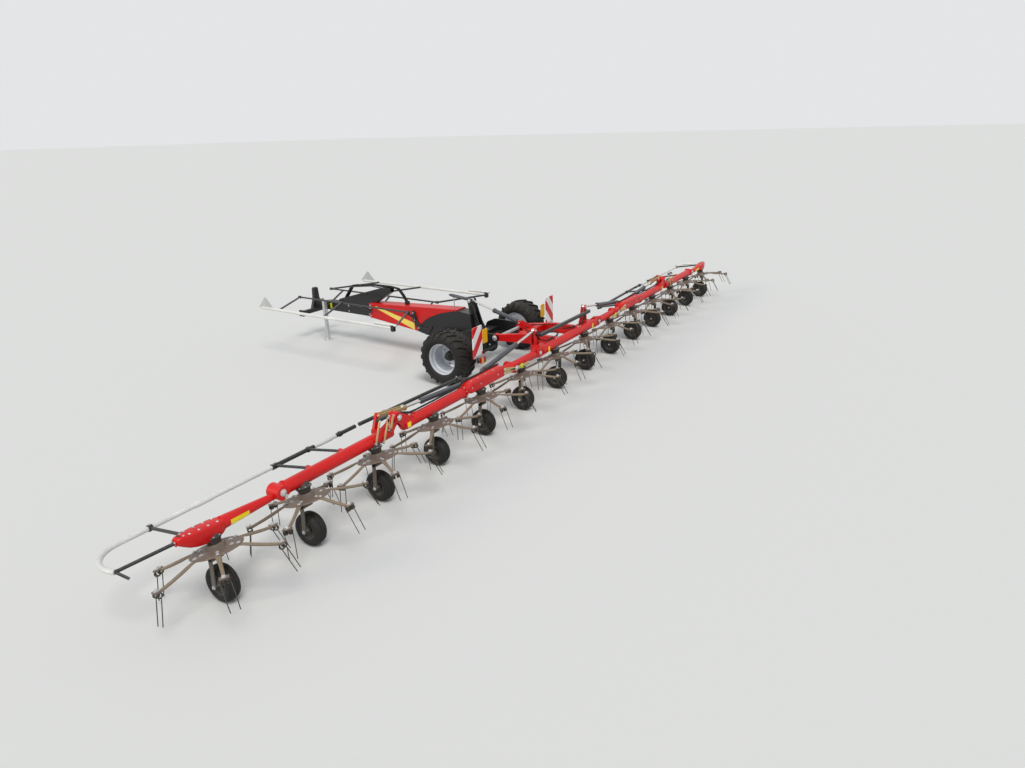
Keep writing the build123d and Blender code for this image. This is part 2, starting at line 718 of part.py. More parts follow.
swivel_y = boom_y + drawbar_front_ahead
with BuildPart() as drawbar_neck:
    block((-90, beam_front + seat_gap, 640), (90, swivel_y - 60, 860))
    block((-60, swivel_y - 90, 680), (60, swivel_y, 820))
    round_bar((0, swivel_y, 680), (0, swivel_y, 820), 60)
    hole_radius = swivel_radius + pin_clearance
    round_bar((0, swivel_y, 679), (0, swivel_y, 821), hole_radius, Mode.SUBTRACT)
    sleeve_half = jack_size / 2 + jack_wall + pin_clearance
    jack_y = boom_y + jack_ahead
    block(
        (jack_x - sleeve_half, jack_y - sleeve_half, 480),
        (jack_x + sleeve_half, jack_y + sleeve_half, jack_top_z),
    )
    block((jack_x, jack_y - 40, 690), (0, jack_y + 40, 790))
    inner_half = jack_size / 2 + pin_clearance
    block(
        (jack_x - inner_half, jack_y - inner_half, 400),
        (jack_x + inner_half, jack_y + inner_half, jack_top_z - 12),
        Mode.SUBTRACT,
    )
save(drawbar_neck.part, "drawbar_neck")

with BuildPart() as hose_rest:
    rest_outline = [
        (boom_y + 5750, 860 + seat_gap),
        (boom_y + 5750, 930),
        (boom_y + 4400, 1310),
        (boom_y + 4200, 1310),
        (boom_y + 4200, 1220),
        (boom_y + 4640, 960),
        (beam_front + 2 * seat_gap, 905),
        (beam_front + 2 * seat_gap, 860 + seat_gap),
    ]
    plate_yz(rest_outline, -60, 60)
save(hose_rest.part, "hose_rest")

with BuildPart() as jack_leg:
    leg_half = jack_size / 2
    block(
        (jack_x - leg_half, jack_y - leg_half, jack_foot_thickness - 2),
        (jack_x + leg_half, jack_y + leg_half, 600 - 140),
    )
    block(
        (jack_x - leg_half, jack_y - leg_half, 455),
        (jack_x + leg_half, jack_y + leg_half, 560),
    )
    round_bar((jack_x, jack_y, 0), (jack_x, jack_y, jack_foot_thickness), jack_foot_radius)
save(jack_leg.part, "jack_leg")

# Hitch headstock on a vertical pin
with BuildPart() as headstock:
    for z_low in (680 - side_gap - 30, 820 + side_gap):
        block((-60, swivel_y - 5, z_low), (60, boom_y + hitch_ahead, z_low + 30))
        round_bar((0, swivel_y, z_low), (0, swivel_y, z_low + 30), 60)
    round_bar((0, swivel_y, 640), (0, swivel_y, 870), swivel_radius)
    block((-60, boom_y + hitch_ahead - 40, 560), (60, boom_y + hitch_ahead + 40, 1110))
    block(
        (-hitch_shoulder + 30, boom_y + hitch_ahead - 45, hitch_z - 45),
        (hitch_shoulder - 30, boom_y + hitch_ahead + 45, hitch_z + 45),
    )
    for side in (-1, 1):
        cheek = sorted([side * hitch_shoulder, side * (hitch_shoulder - 40)])
        cheek_low = (cheek[0], boom_y + hitch_ahead - 70, hitch_z - 70)
        block(cheek_low, (cheek[1], boom_y + hitch_ahead + 70, hitch_z + 70))
        pin_start = (side * (hitch_shoulder - 20), boom_y + hitch_ahead, hitch_z)
        pin_end = (side * (hitch_shoulder + hitch_pin_length), boom_y + hitch_ahead, hitch_z)
        round_bar(pin_start, pin_end, hitch_pin_radius)
    stub_y = boom_y + hitch_ahead + 40
    round_bar((0, stub_y - 10, pto_z), (0, stub_y + pto_stub_length, pto_z), pto_stub_radius)
save(headstock.part, "headstock")

# Carrier wheels: tyre and rim, built on the X axis
with BuildPart() as tyre:
    half = tyre_width / 2
    with BuildSketch(Plane.XY) as section:
        with BuildLine():
            Polyline(
                (-half + 60, rim_radius),
                (half - 60, rim_radius),
                (half - 20, rim_radius + 50),
                (half, tyre_radius - tyre_shoulder - 40),
                (half - 30, tyre_radius - 40),
                (half - tyre_shoulder, tyre_radius),
                (-half + tyre_shoulder, tyre_radius),
                (-half + 30, tyre_radius - 40),
                (-half, tyre_radius - tyre_shoulder - 40),
                (-half + 20, rim_radius + 50),
                close=True,
            )
        make_face()
    revolve(section.sketch, axis=Axis.X)
with BuildPart() as rim:
    half = rim_width / 2
    inner = axle_stub_radius + pin_clearance
    with BuildSketch(Plane.XY) as section:
        with BuildLine():
            Polyline(
                (-half, rim_radius),
                (half, rim_radius),
                (half, rim_radius - 14),
                (-40, rim_radius - 60),
                (-40, hub_flange_radius),
                (60, hub_flange_radius - 20),
                (60, inner),
                (-90, inner),
                (-90, hub_flange_radius - 40),
                (-60, hub_flange_radius),
                (-60, rim_radius - 60),
                (-half, rim_radius - 14),
                close=True,
            )
        make_face()
    revolve(section.sketch, axis=Axis.X)
wheel_place = Location((wheel_x, axle_y, axle_z))
save_pair(tyre.part.moved(wheel_place), "tyre")
save_pair(rim.part.moved(wheel_place), "rim")

# Warning boards and lamps behind the wheels, on brackets from the axle frame
with BuildPart() as lamp_bracket:
    bracket_y = boom_y + board_ahead + board_thickness
    arm_inner_x = lift_hinge_half_width + 66 + side_gap + seat_gap
    block((arm_inner_x, lift_y - 45, 560), (board_x, lift_y - 12, 600))
    block((board_x - 30, bracket_y + seat_gap, 560), (board_x, lift_y - 12, 600))
    block((board_x - 30, bracket_y + seat_gap, 480), (board_x, bracket_y + 12, board_z + 150))
    block((lamp_x - 15, bracket_y + seat_gap, 480), (board_x, bracket_y + 12, 510))
save_pair(lamp_bracket.part, "lamp_bracket")
with BuildPart() as warning_board:
    board_low = (board_x - board_width / 2, boom_y + board_ahead, board_z - board_height / 2)
    board_high = (board_x + board_width / 2, bracket_y, board_z + board_height / 2)
    block(board_low, board_high)
save_pair(warning_board.part, "warning_board")
with BuildPart() as tail_lamp:
    block((lamp_x - 70, boom_y + board_ahead - 30, lamp_z - 50), (lamp_x + 70, bracket_y, lamp_z + 50))
save_pair(tail_lamp.part, "tail_lamp")

# Side guards: a long tube on three arms from a rail beside the drawbar
with BuildPart() as side_guard:
    rear_y = boom_y + side_guard_rear_ahead
    front_y = boom_y + side_guard_front_ahead
    round_bar((side_guard_x, rear_y, side_guard_z), (side_guard_x, front_y, side_guard_z), side_guard_radius)
    rail_rear = (side_guard_rail_x, rear_y + 600, side_guard_z)
    round_bar(rail_rear, (side_guard_rail_x, front_y + 100, side_guard_z), 18)
    # Side guard arms: distance ahead, half-width of the drawbar there
    for ahead, half_width in ((3400, 150), (4800, 150), (6150, 90)):
        foot_x = half_width + seat_gap
        block((foot_x, boom_y + ahead - 50, 740), (foot_x + 12, boom_y + ahead + 50, 850))
        arm_start = (foot_x + 10, boom_y + ahead, 800)
        round_bar(arm_start, (side_guard_rail_x, boom_y + ahead, side_guard_z), 20)
        rail_point = (side_guard_rail_x, boom_y + ahead, side_guard_z)
        round_bar(rail_point, (side_guard_x, boom_y + ahead, side_guard_z), 20)
save_pair(side_guard.part, "side_guard")
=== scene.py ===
# %% [markdown]
# # A hay tedder, dressed in Blender
#
# The machine is a wide boom with fourteen tined rotors, hung behind a two-wheeled carrier with a long drawbar.
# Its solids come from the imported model, which is the fixed frame of this lesson.
# Each cell takes one piece or one finish, says what it is on the real machine, and makes it.

import json
import math

import bmesh
import bpy
from mathutils import Matrix, Vector


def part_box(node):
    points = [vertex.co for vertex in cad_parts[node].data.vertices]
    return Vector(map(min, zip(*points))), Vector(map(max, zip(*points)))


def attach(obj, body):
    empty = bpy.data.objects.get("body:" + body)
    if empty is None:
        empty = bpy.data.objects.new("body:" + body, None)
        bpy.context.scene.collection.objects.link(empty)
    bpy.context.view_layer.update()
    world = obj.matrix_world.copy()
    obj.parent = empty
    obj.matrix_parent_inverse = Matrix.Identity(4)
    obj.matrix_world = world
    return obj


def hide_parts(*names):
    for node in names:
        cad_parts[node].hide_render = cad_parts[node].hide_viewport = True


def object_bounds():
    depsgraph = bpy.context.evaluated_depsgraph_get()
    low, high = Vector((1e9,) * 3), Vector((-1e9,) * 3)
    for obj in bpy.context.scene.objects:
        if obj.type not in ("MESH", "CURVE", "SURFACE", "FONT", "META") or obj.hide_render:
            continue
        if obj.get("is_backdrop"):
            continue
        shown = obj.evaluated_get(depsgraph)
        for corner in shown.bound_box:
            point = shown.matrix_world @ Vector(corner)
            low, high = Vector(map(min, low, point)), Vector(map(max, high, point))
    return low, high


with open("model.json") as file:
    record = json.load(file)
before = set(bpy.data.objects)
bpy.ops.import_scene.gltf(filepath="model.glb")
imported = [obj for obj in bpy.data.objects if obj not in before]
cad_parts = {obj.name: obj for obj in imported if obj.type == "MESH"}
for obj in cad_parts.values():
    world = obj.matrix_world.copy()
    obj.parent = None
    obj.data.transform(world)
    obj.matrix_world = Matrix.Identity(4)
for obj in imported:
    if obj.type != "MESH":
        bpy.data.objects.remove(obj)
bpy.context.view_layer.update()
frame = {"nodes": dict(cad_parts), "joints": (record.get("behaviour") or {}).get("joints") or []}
joints = {joint["name"]: joint for joint in frame["joints"]}

# %% [markdown]
# ## Places that many pieces share
#
# The rotors, the wheels and the hinges are where the joints are.
# Most are read from the frame, and a few that many pieces share are named here.

# %% Rotor places, boom line and axle
rotor_places = {
    name[-2:]: Vector(joint["pos_m"]) for name, joint in joints.items() if name.startswith("rotor_spin")
}
rotor_axis = Vector(joints["rotor_spin_07"]["axis"]).normalized()
lean_turn = Matrix.Rotation(-math.atan2(rotor_axis.y, rotor_axis.z), 4, "X")
disc_height, gauge_radius = 0.6, 0.2
boom_y = joints["wing_fold_right"]["pos_m"][1]
wing_hinge_x, wing_hinge_z = 1.16, joints["wing_fold_right"]["pos_m"][2]
fold_hinge_x, fold_hinge_z = 4.78, 0.97
lift_ahead, lift_z = 1.3, 0.72
axle_ahead, axle_z = 1.81, 0.505
thin_hose = 0.008
beam_z = 0.805
tube_radius, inner_tube_radius = 0.080, 0.070
axle = Vector(joints["wheel_spin_right"]["pos_m"])
sides = (("right", 1), ("left", -1))
print("boom line y", round(boom_y, 3), "axle at", [round(v, 3) for v in axle])


def spot(x, y, z):
    """A point given by its distance from the middle, ahead of the boom line, and its height."""
    return Vector((x, boom_y + y, z))


# %% [markdown]
# ## The camera
#
# The view is from behind the left-hand end of the boom, a little over four metres up.
# A wide lens makes the near rotors large and lets the boom run away to the right.
# The three directions are worked out from the turn, the downward tilt and a small roll.

# %% Camera
focal_pixels = 696.0
turn = math.radians(57.49)
tilt = math.radians(20.03)
roll = math.radians(-1.54)
ahead = Vector((math.sin(turn) * math.cos(tilt), math.cos(turn) * math.cos(tilt), -math.sin(tilt)))
across = Vector((math.cos(turn), -math.sin(turn), 0))
upward = across.cross(ahead)
level_across, level_up = across.copy(), upward.copy()
across = level_across * math.cos(roll) + level_up * math.sin(roll)
upward = level_up * math.cos(roll) - level_across * math.sin(roll)
camera = bpy.data.objects.new("camera", bpy.data.cameras.new("camera"))
bpy.context.scene.collection.objects.link(camera)
camera.data.sensor_width = 36.0
camera.data.lens = focal_pixels * 36.0 / 1025.0
camera.data.clip_end = 2000.0
place = Matrix((across, upward, -ahead)).transposed().to_4x4()
place.translation = Vector((-10.93, boom_y - 5.72, 4.38))
camera.matrix_world = place
bpy.context.scene.camera = camera
print("camera lens", round(camera.data.lens, 2), "mm")

# %% [markdown]
# ## Floor, backdrop and light
#
# The machine stands on a plain pale floor under soft light.
# The floor's own colour makes the picture bright, so no extra light falls on the machine.
# A light path switch shows the camera, mirrors and glass a plain white-grey world without changing what it sheds.

# %% Floor
floor_mesh = bpy.data.meshes.new("floor")
floor_mesh.from_pydata([(-600, -600, 0), (600, -600, 0), (600, 600, 0), (-600, 600, 0)], [], [(0, 1, 2, 3)])
floor = bpy.data.objects.new("floor", floor_mesh)
bpy.context.scene.collection.objects.link(floor)
floor.location.z = -0.001
floor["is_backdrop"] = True
floor_paint = bpy.data.materials.new("pale_floor")
floor_paint.use_nodes = True
floor_shader = floor_paint.node_tree.nodes["Principled BSDF"]
floor_shader.inputs["Base Color"].default_value = (0.62, 0.62, 0.60, 1)
floor_shader.inputs["Roughness"].default_value = 0.9
floor_shader.inputs["Specular IOR Level"].default_value = 0.1
floor_mesh.materials.append(floor_paint)

# %% World and lamps
world = bpy.data.worlds.new("soft_sky")
bpy.context.scene.world = world
world.use_nodes = True
sky_nodes, sky_links = world.node_tree.nodes, world.node_tree.links
sky_nodes.clear()
sky_out = sky_nodes.new("ShaderNodeOutputWorld")
sky_mix = sky_nodes.new("ShaderNodeMixShader")
soft_light = sky_nodes.new("ShaderNodeBackground")
seen_sky = sky_nodes.new("ShaderNodeBackground")
ray_kind = sky_nodes.new("ShaderNodeLightPath")
either = sky_nodes.new("ShaderNodeMath")
either.operation = "MAXIMUM"
any_seen = sky_nodes.new("ShaderNodeMath")
any_seen.operation = "MAXIMUM"
soft_light.inputs["Color"].default_value = (0.86, 0.92, 1.0, 1)
soft_light.inputs["Strength"].default_value = 0.62
seen_sky.inputs["Color"].default_value = (0.86, 0.87, 0.88, 1)
seen_sky.inputs["Strength"].default_value = 0.9
sky_links.new(ray_kind.outputs["Is Camera Ray"], either.inputs[0])
sky_links.new(ray_kind.outputs["Is Glossy Ray"], either.inputs[1])
sky_links.new(either.outputs[0], any_seen.inputs[0])
sky_links.new(ray_kind.outputs["Is Transmission Ray"], any_seen.inputs[1])
sky_links.new(any_seen.outputs[0], sky_mix.inputs[0])
sky_links.new(soft_light.outputs[0], sky_mix.inputs[1])
sky_links.new(seen_sky.outputs[0], sky_mix.inputs[2])
sky_links.new(sky_mix.outputs[0], sky_out.inputs[0])


def add_sun(name, strength, from_point, softness, colour):
    """A sun lamp that shines from a point towards the machine."""
    sun = bpy.data.objects.new(name, bpy.data.lights.new(name, "SUN"))
    bpy.context.scene.collection.objects.link(sun)
    sun.data.energy = strength
    sun.data.angle = math.radians(softness)
    sun.data.color = colour
    sun.rotation_mode = "QUATERNION"
    sun.rotation_quaternion = Vector(from_point).to_track_quat("Z", "Y")
    return sun


add_sun("sky_light", 1.9, (-3, -4, 9), 25, (1.0, 0.98, 0.95))
add_sun("low_light", 0.8, (-7, 5, 3.5), 12, (1.0, 0.9, 0.78))
bpy.context.scene.view_settings.view_transform = "Standard"
print("two suns and a soft sky")

# %% [markdown]
# ## Paint that has worked in a field
#
# Farm machine paint is glossy when new, and dust and plant juice dull it where it lies flat.
# A broad noise lightens and darkens the colour, and a second finer noise lays dust on faces that look up.
# Roughness and a very fine bump come from the same noises, so shine breaks up as on real sheet steel.
# The bevel node rounds the sharp edges in the light only, and where its direction differs from the face's own,
# there is an edge: that is where paint wears off first.

# %% A helper for painted steel
def linear(red, green, blue):
    """An sRGB colour from 0 to 255 as the linear values that shaders use."""
    return tuple((v / 255 / 12.92) if v < 10.3 else ((v / 255 + 0.055) / 1.055) ** 2.4 for v in (red, green, blue))


def ranged(finish, value, low, high, to_low=0.0, to_high=1.0):
    """A map-range node on a value, and its output."""
    node = finish.node_tree.nodes.new("ShaderNodeMapRange")
    node.inputs["From Min"].default_value = low
    node.inputs["From Max"].default_value = high
    node.inputs["To Min"].default_value = to_low
    node.inputs["To Max"].default_value = to_high
    finish.node_tree.links.new(value, node.inputs["Value"])
    return node.outputs[0]


def reckoned(finish, operation, first, second):
    """A math node on two outputs or numbers, and its output."""
    node = finish.node_tree.nodes.new("ShaderNodeMath")
    node.operation = operation
    for socket, value in zip(node.inputs, (first, second)):
        if isinstance(value, (int, float)):
            socket.default_value = value
        else:
            finish.node_tree.links.new(value, socket)
    return node.outputs[0]


def mixed(finish, factor, first, second, blend="MIX"):
    """A colour mix of two outputs or colours, and its output."""
    node = finish.node_tree.nodes.new("ShaderNodeMix")
    node.data_type = "RGBA"
    node.blend_type = blend
    for name, value in (("Factor", factor), ("A", first), ("B", second)):
        socket = [s for s in node.inputs if s.name == name and s.enabled][0]
        if isinstance(value, (int, float)):
            socket.default_value = value
        elif isinstance(value, tuple):
            socket.default_value = (*value, 1)
        else:
            finish.node_tree.links.new(value, socket)
    return [s for s in node.outputs if s.enabled][0]


def painted(name, colour, dust=(120, 112, 92), roughness=(0.28, 0.5), dust_share=0.35,
            metallic=0.0, coat=0.0, grain=30.0, worn=None, wear=0.5):
    """A painted or bare metal finish with uneven colour, dust on top, worn edges and a fine bump."""
    finish = bpy.data.materials.new(name)
    finish.use_nodes = True
    nodes, links = finish.node_tree.nodes, finish.node_tree.links
    shader = nodes["Principled BSDF"]
    place_on = nodes.new("ShaderNodeTexCoord")
    noises = {}
    for noise, scale, detail in (("broad", 2.3, 6.0), ("fine", grain, 5.0)):
        noises[noise] = nodes.new("ShaderNodeTexNoise")
        noises[noise].inputs["Scale"].default_value = scale
        noises[noise].inputs["Detail"].default_value = detail
        links.new(place_on.outputs["Object"], noises[noise].inputs["Vector"])
    broad, fine = noises["broad"].outputs["Fac"], noises["fine"].outputs["Fac"]
    base = linear(*colour)
    shade = ranged(finish, broad, 0.3, 0.7, 0.80, 1.0)
    shaded = mixed(finish, 1.0, base, shade, "MULTIPLY")
    facing = nodes.new("ShaderNodeNewGeometry")
    height = nodes.new("ShaderNodeSeparateXYZ")
    links.new(facing.outputs["Normal"], height.inputs[0])
    upwards = ranged(finish, height.outputs["Z"], 0.2, 1.0, 0.0, dust_share)
    amount = reckoned(finish, "MULTIPLY", upwards, ranged(finish, fine, 0.42, 0.68))
    dusted = mixed(finish, amount, shaded, linear(*dust))
    soft_edge = None
    if worn is not None:
        soft_edge = nodes.new("ShaderNodeBevel")
        soft_edge.samples = 4
        soft_edge.inputs["Radius"].default_value = 0.004
        along = nodes.new("ShaderNodeVectorMath")
        along.operation = "DOT_PRODUCT"
        links.new(soft_edge.outputs[0], along.inputs[0])
        links.new(facing.outputs["Normal"], along.inputs[1])
        edge = ranged(finish, along.outputs["Value"], 0.985, 0.86, 0.0, wear)
        scuffed = reckoned(finish, "MULTIPLY", edge, ranged(finish, fine, 0.40, 0.60))
        dusted = mixed(finish, scuffed, dusted, linear(*worn))
    links.new(dusted, shader.inputs["Base Color"])
    links.new(ranged(finish, fine, 0.0, 1.0, *roughness), shader.inputs["Roughness"])
    bump = nodes.new("ShaderNodeBump")
    bump.inputs["Strength"].default_value = 0.06
    bump.inputs["Distance"].default_value = 0.002
    links.new(fine, bump.inputs["Height"])
    if soft_edge is not None:
        links.new(soft_edge.outputs[0], bump.inputs["Normal"])
    links.new(bump.outputs[0], shader.inputs["Normal"])
    shader.inputs["Metallic"].default_value = metallic
    shader.inputs["Coat Weight"].default_value = coat
    shader.inputs["Coat Roughness"].default_value = 0.12
    shader.inputs["Specular IOR Level"].default_value = 0.35
    return finish


# %% [markdown]
# ## The machine's finishes
#
# Red boom and beam, black carrier, pale guard tubes, yellow zinc links,
# and brown-grey rotor plates that the crop has polished.
# Each has its own shine, so the pieces read apart even where they are the same colour.

# %% Colours that several finishes share
boom_red = (206, 4, 4)
red_dust, chipped = (160, 70, 52), (226, 110, 90)
stripe_yellow = (240, 214, 96)

# %% Finishes
red_paint = painted("red_paint", boom_red, red_dust, (0.34, 0.5), 0.12, coat=0.15, worn=chipped)
black_paint = painted("black_paint", (28, 28, 30), (84, 82, 70), (0.34, 0.55), 0.4, coat=0.2, worn=(112, 110, 104))
pale_tube = painted("pale_tube_paint", (222, 222, 218), (160, 158, 140), (0.3, 0.5), coat=0.3)
rotor_paint = painted("rotor_plate_paint", (112, 98, 90), (140, 130, 104), (0.34, 0.6), 0.4, worn=(178, 168, 156))
leg_paint = painted("leg_paint", (104, 96, 86), (140, 130, 108), (0.4, 0.6), 0.3, worn=(160, 150, 136))
tube_black = painted("black_tube_paint", (34, 34, 36), (120, 118, 104), (0.3, 0.5), 0.25, coat=0.3,
                     worn=(120, 118, 112))
side_grey = painted("side_rail_paint", (52, 52, 54), (120, 118, 104), (0.3, 0.5), 0.25, coat=0.2,
                    worn=(120, 118, 112))
plate_grey = painted("corner_plate_paint", (196, 198, 194), (180, 176, 158), (0.3, 0.5), 0.2)
arm_paint = painted("tine_arm_paint", (132, 116, 98), (140, 130, 104), (0.4, 0.6), 0.35, worn=(180, 168, 150))
tine_steel = painted("tine_spring_steel", (78, 74, 66), (110, 104, 82), (0.3, 0.5), metallic=0.6)
cylinder_grey = painted("cylinder_grey_paint", (70, 76, 82), (120, 116, 102), (0.32, 0.5), coat=0.2,
                        worn=(150, 150, 148))
wheel_grey = painted("gauge_rim_paint", (66, 64, 62), (120, 116, 96), (0.4, 0.6), 0.4)
rod_chrome = painted("rod_chrome", (226, 226, 224), (180, 178, 170), (0.14, 0.26), 0.1, metallic=0.9)
yellow_zinc = painted("yellow_zinc", (208, 186, 132), (150, 140, 110), (0.3, 0.48), metallic=0.6,
                      worn=(230, 222, 200))
bright_zinc = painted("bright_zinc_bolt", (212, 212, 212), (150, 146, 132), (0.25, 0.42), 0.1, metallic=0.7)
rim_silver = painted("rim_silver_paint", (212, 216, 222), (160, 156, 140), (0.28, 0.46), 0.15, metallic=0.2)
yellow_label = painted("yellow_label", (246, 214, 6), (200, 180, 80), (0.3, 0.42), 0.1, coat=0.3)
dark_cast_paint = painted("dark_cast_paint", (70, 66, 62), (120, 112, 96), (0.35, 0.55), 0.3, worn=(130, 126, 118))
print("finishes", len(bpy.data.materials))

# %% Rubber
def rubber(name, colour, grain):
    """Dull rubber with dried mud on the faces that look up."""
    finish = painted(name, colour, (104, 98, 78), (0.62, 0.85), 0.3, grain=grain)
    finish.node_tree.nodes["Principled BSDF"].inputs["Specular IOR Level"].default_value = 0.3
    return finish


tyre_rubber = rubber("tyre_rubber", (38, 37, 36), 18.0)
hose_rubber = rubber("hose_rubber", (24, 24, 25), 60.0)


# %% [markdown]
# ## Red and white warning stripes
#
# The boards behind the wheels carry slanting red and white bands.
# The bands are a pattern in the board's own X and Z, with X mirrored, so both boards lean outwards.

# %% Striped board finish
def striped(name, first, second, width, slope):
    """Slanting bands in two colours, worked out from the place on the board."""
    finish = bpy.data.materials.new(name)
    finish.use_nodes = True
    nodes, links = finish.node_tree.nodes, finish.node_tree.links
    shader = nodes["Principled BSDF"]
    place_on = nodes.new("ShaderNodeTexCoord")
    split = nodes.new("ShaderNodeSeparateXYZ")
    links.new(place_on.outputs["Object"], split.inputs[0])
    mirrored = nodes.new("ShaderNodeMath")
    mirrored.operation = "ABSOLUTE"
    links.new(split.outputs["X"], mirrored.inputs[0])
    slanted = nodes.new("ShaderNodeMath")
    slanted.operation = "MULTIPLY_ADD"
    slanted.inputs[1].default_value = slope
    links.new(mirrored.outputs[0], slanted.inputs[0])
    links.new(split.outputs["Z"], slanted.inputs[2])
    banded = nodes.new("ShaderNodeMath")
    banded.operation = "PINGPONG"
    banded.inputs[1].default_value = width
    links.new(slanted.outputs[0], banded.inputs[0])
    edge = nodes.new("ShaderNodeMath")
    edge.operation = "GREATER_THAN"
    edge.inputs[1].default_value = width / 2
    links.new(banded.outputs[0], edge.inputs[0])
    pick = nodes.new("ShaderNodeMix")
    pick.data_type = "RGBA"
    pick.inputs["A"].default_value = (*linear(*first), 1)
    pick.inputs["B"].default_value = (*linear(*second), 1)
    links.new(edge.outputs[0], pick.inputs["Factor"])
    links.new(pick.outputs["Result"], shader.inputs["Base Color"])
    shader.inputs["Roughness"].default_value = 0.35
    shader.inputs["Coat Weight"].default_value = 0.3
    return finish


board_bands = striped("board_bands", (204, 14, 20), (232, 232, 230), 0.20, 1.2)
lamp_lens = painted("red_lamp_lens", (176, 16, 18), roughness=(0.12, 0.2), dust_share=0.1, coat=0.6)
amber_patch = painted("amber_patch", (236, 176, 24), dust=(200, 170, 90), roughness=(0.25, 0.35), dust_share=0.15,
                      coat=0.4)
yellow_patch = painted("yellow_green_patch", (206, 208, 40), dust=(170, 168, 80), roughness=(0.25, 0.35),
                       dust_share=0.15)

# %% [markdown]
# ## The stripe on the drawbar beam
#
# A pale yellow wedge runs along each side of the red beam, from its front end down to its belly.
# The stripe is a colour between two slanting lines, found from how far ahead a point lies and how high.

# %% Striped beam finish
def striped_beam(name):
    """The beam's red with a pale wedge between two slanting lines."""
    finish = painted(name, boom_red, red_dust, (0.34, 0.5), 0.12, coat=0.15, worn=chipped)
    nodes, links = finish.node_tree.nodes, finish.node_tree.links
    place_on = nodes.new("ShaderNodeTexCoord")
    split = nodes.new("ShaderNodeSeparateXYZ")
    links.new(place_on.outputs["Object"], split.inputs[0])
    run = reckoned(finish, "SUBTRACT", split.outputs["Y"], boom_y + 3.53)
    lower = reckoned(finish, "ADD", reckoned(finish, "MULTIPLY", run, 0.335), 0.515)
    upper = reckoned(finish, "ADD", reckoned(finish, "MULTIPLY", run, 0.235), 0.665)
    inside = reckoned(finish, "GREATER_THAN", split.outputs["Z"], lower)
    inside = reckoned(finish, "MULTIPLY", inside, reckoned(finish, "LESS_THAN", split.outputs["Z"], upper))
    inside = reckoned(finish, "MULTIPLY", inside, reckoned(finish, "GREATER_THAN", run, 0.0))
    inside = reckoned(finish, "MULTIPLY", inside, reckoned(finish, "LESS_THAN", run, 1.05))
    side_only = reckoned(finish, "GREATER_THAN", reckoned(finish, "ABSOLUTE", split.outputs["X"], 0.0), 0.1495)
    inside = reckoned(finish, "MULTIPLY", inside, side_only)
    shader = nodes["Principled BSDF"]
    before = shader.inputs["Base Color"].links[0].from_socket
    links.new(mixed(finish, inside, before, linear(*stripe_yellow)), shader.inputs["Base Color"])
    return finish


beam_red = striped_beam("beam_red_paint")

# %% [markdown]
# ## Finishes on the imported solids
#
# Solids whose shape is right keep their mesh and only get a finish.
# A short table says which finish goes to which solid, by the start of its name.

# %% Dress the solids
solid_finishes = {
    "centre_beam": red_paint,
    "carrier_frame": red_paint,
    "wing_boom": red_paint,
    "outer_boom": red_paint,
    "main_beam": beam_red,
    "fold_link": yellow_zinc,
    "axle_frame": black_paint,
    "drawbar_neck": black_paint,
    "hose_rest": black_paint,
    "headstock": black_paint,
    "jack_leg": bright_zinc,
    "lamp_bracket": black_paint,
    "warning_board": board_bands,
    "tail_lamp": lamp_lens,
    "wing_cylinder_barrel": cylinder_grey,
    "fold_cylinder_barrel": cylinder_grey,
    "lift_cylinder_barrel": cylinder_grey,
    "wing_cylinder_rod": rod_chrome,
    "fold_cylinder_rod": rod_chrome,
    "lift_cylinder_rod": rod_chrome,
    "rotor": rotor_paint,
    "gauge_wheels": tyre_rubber,
    "tyre": tyre_rubber,
    "rim": rim_silver,
    "wing_guard": black_paint,
    "outer_guard": pale_tube,
    "side_guard": pale_tube,
}
for node_name, solid in frame["nodes"].items():
    starts = [start for start in solid_finishes if node_name.startswith(start)]
    finish = solid_finishes[max(starts, key=len)]
    solid.data.materials.clear()
    solid.data.materials.append(finish)
print(len(frame["nodes"]), "solids dressed")


# %% [markdown]
# ## Mesh helpers
#
# Most added pieces are turned profiles, swept tubes or many copies of a small form.
# The helpers make them as plain lists of points and faces, which join into one mesh with several finishes.

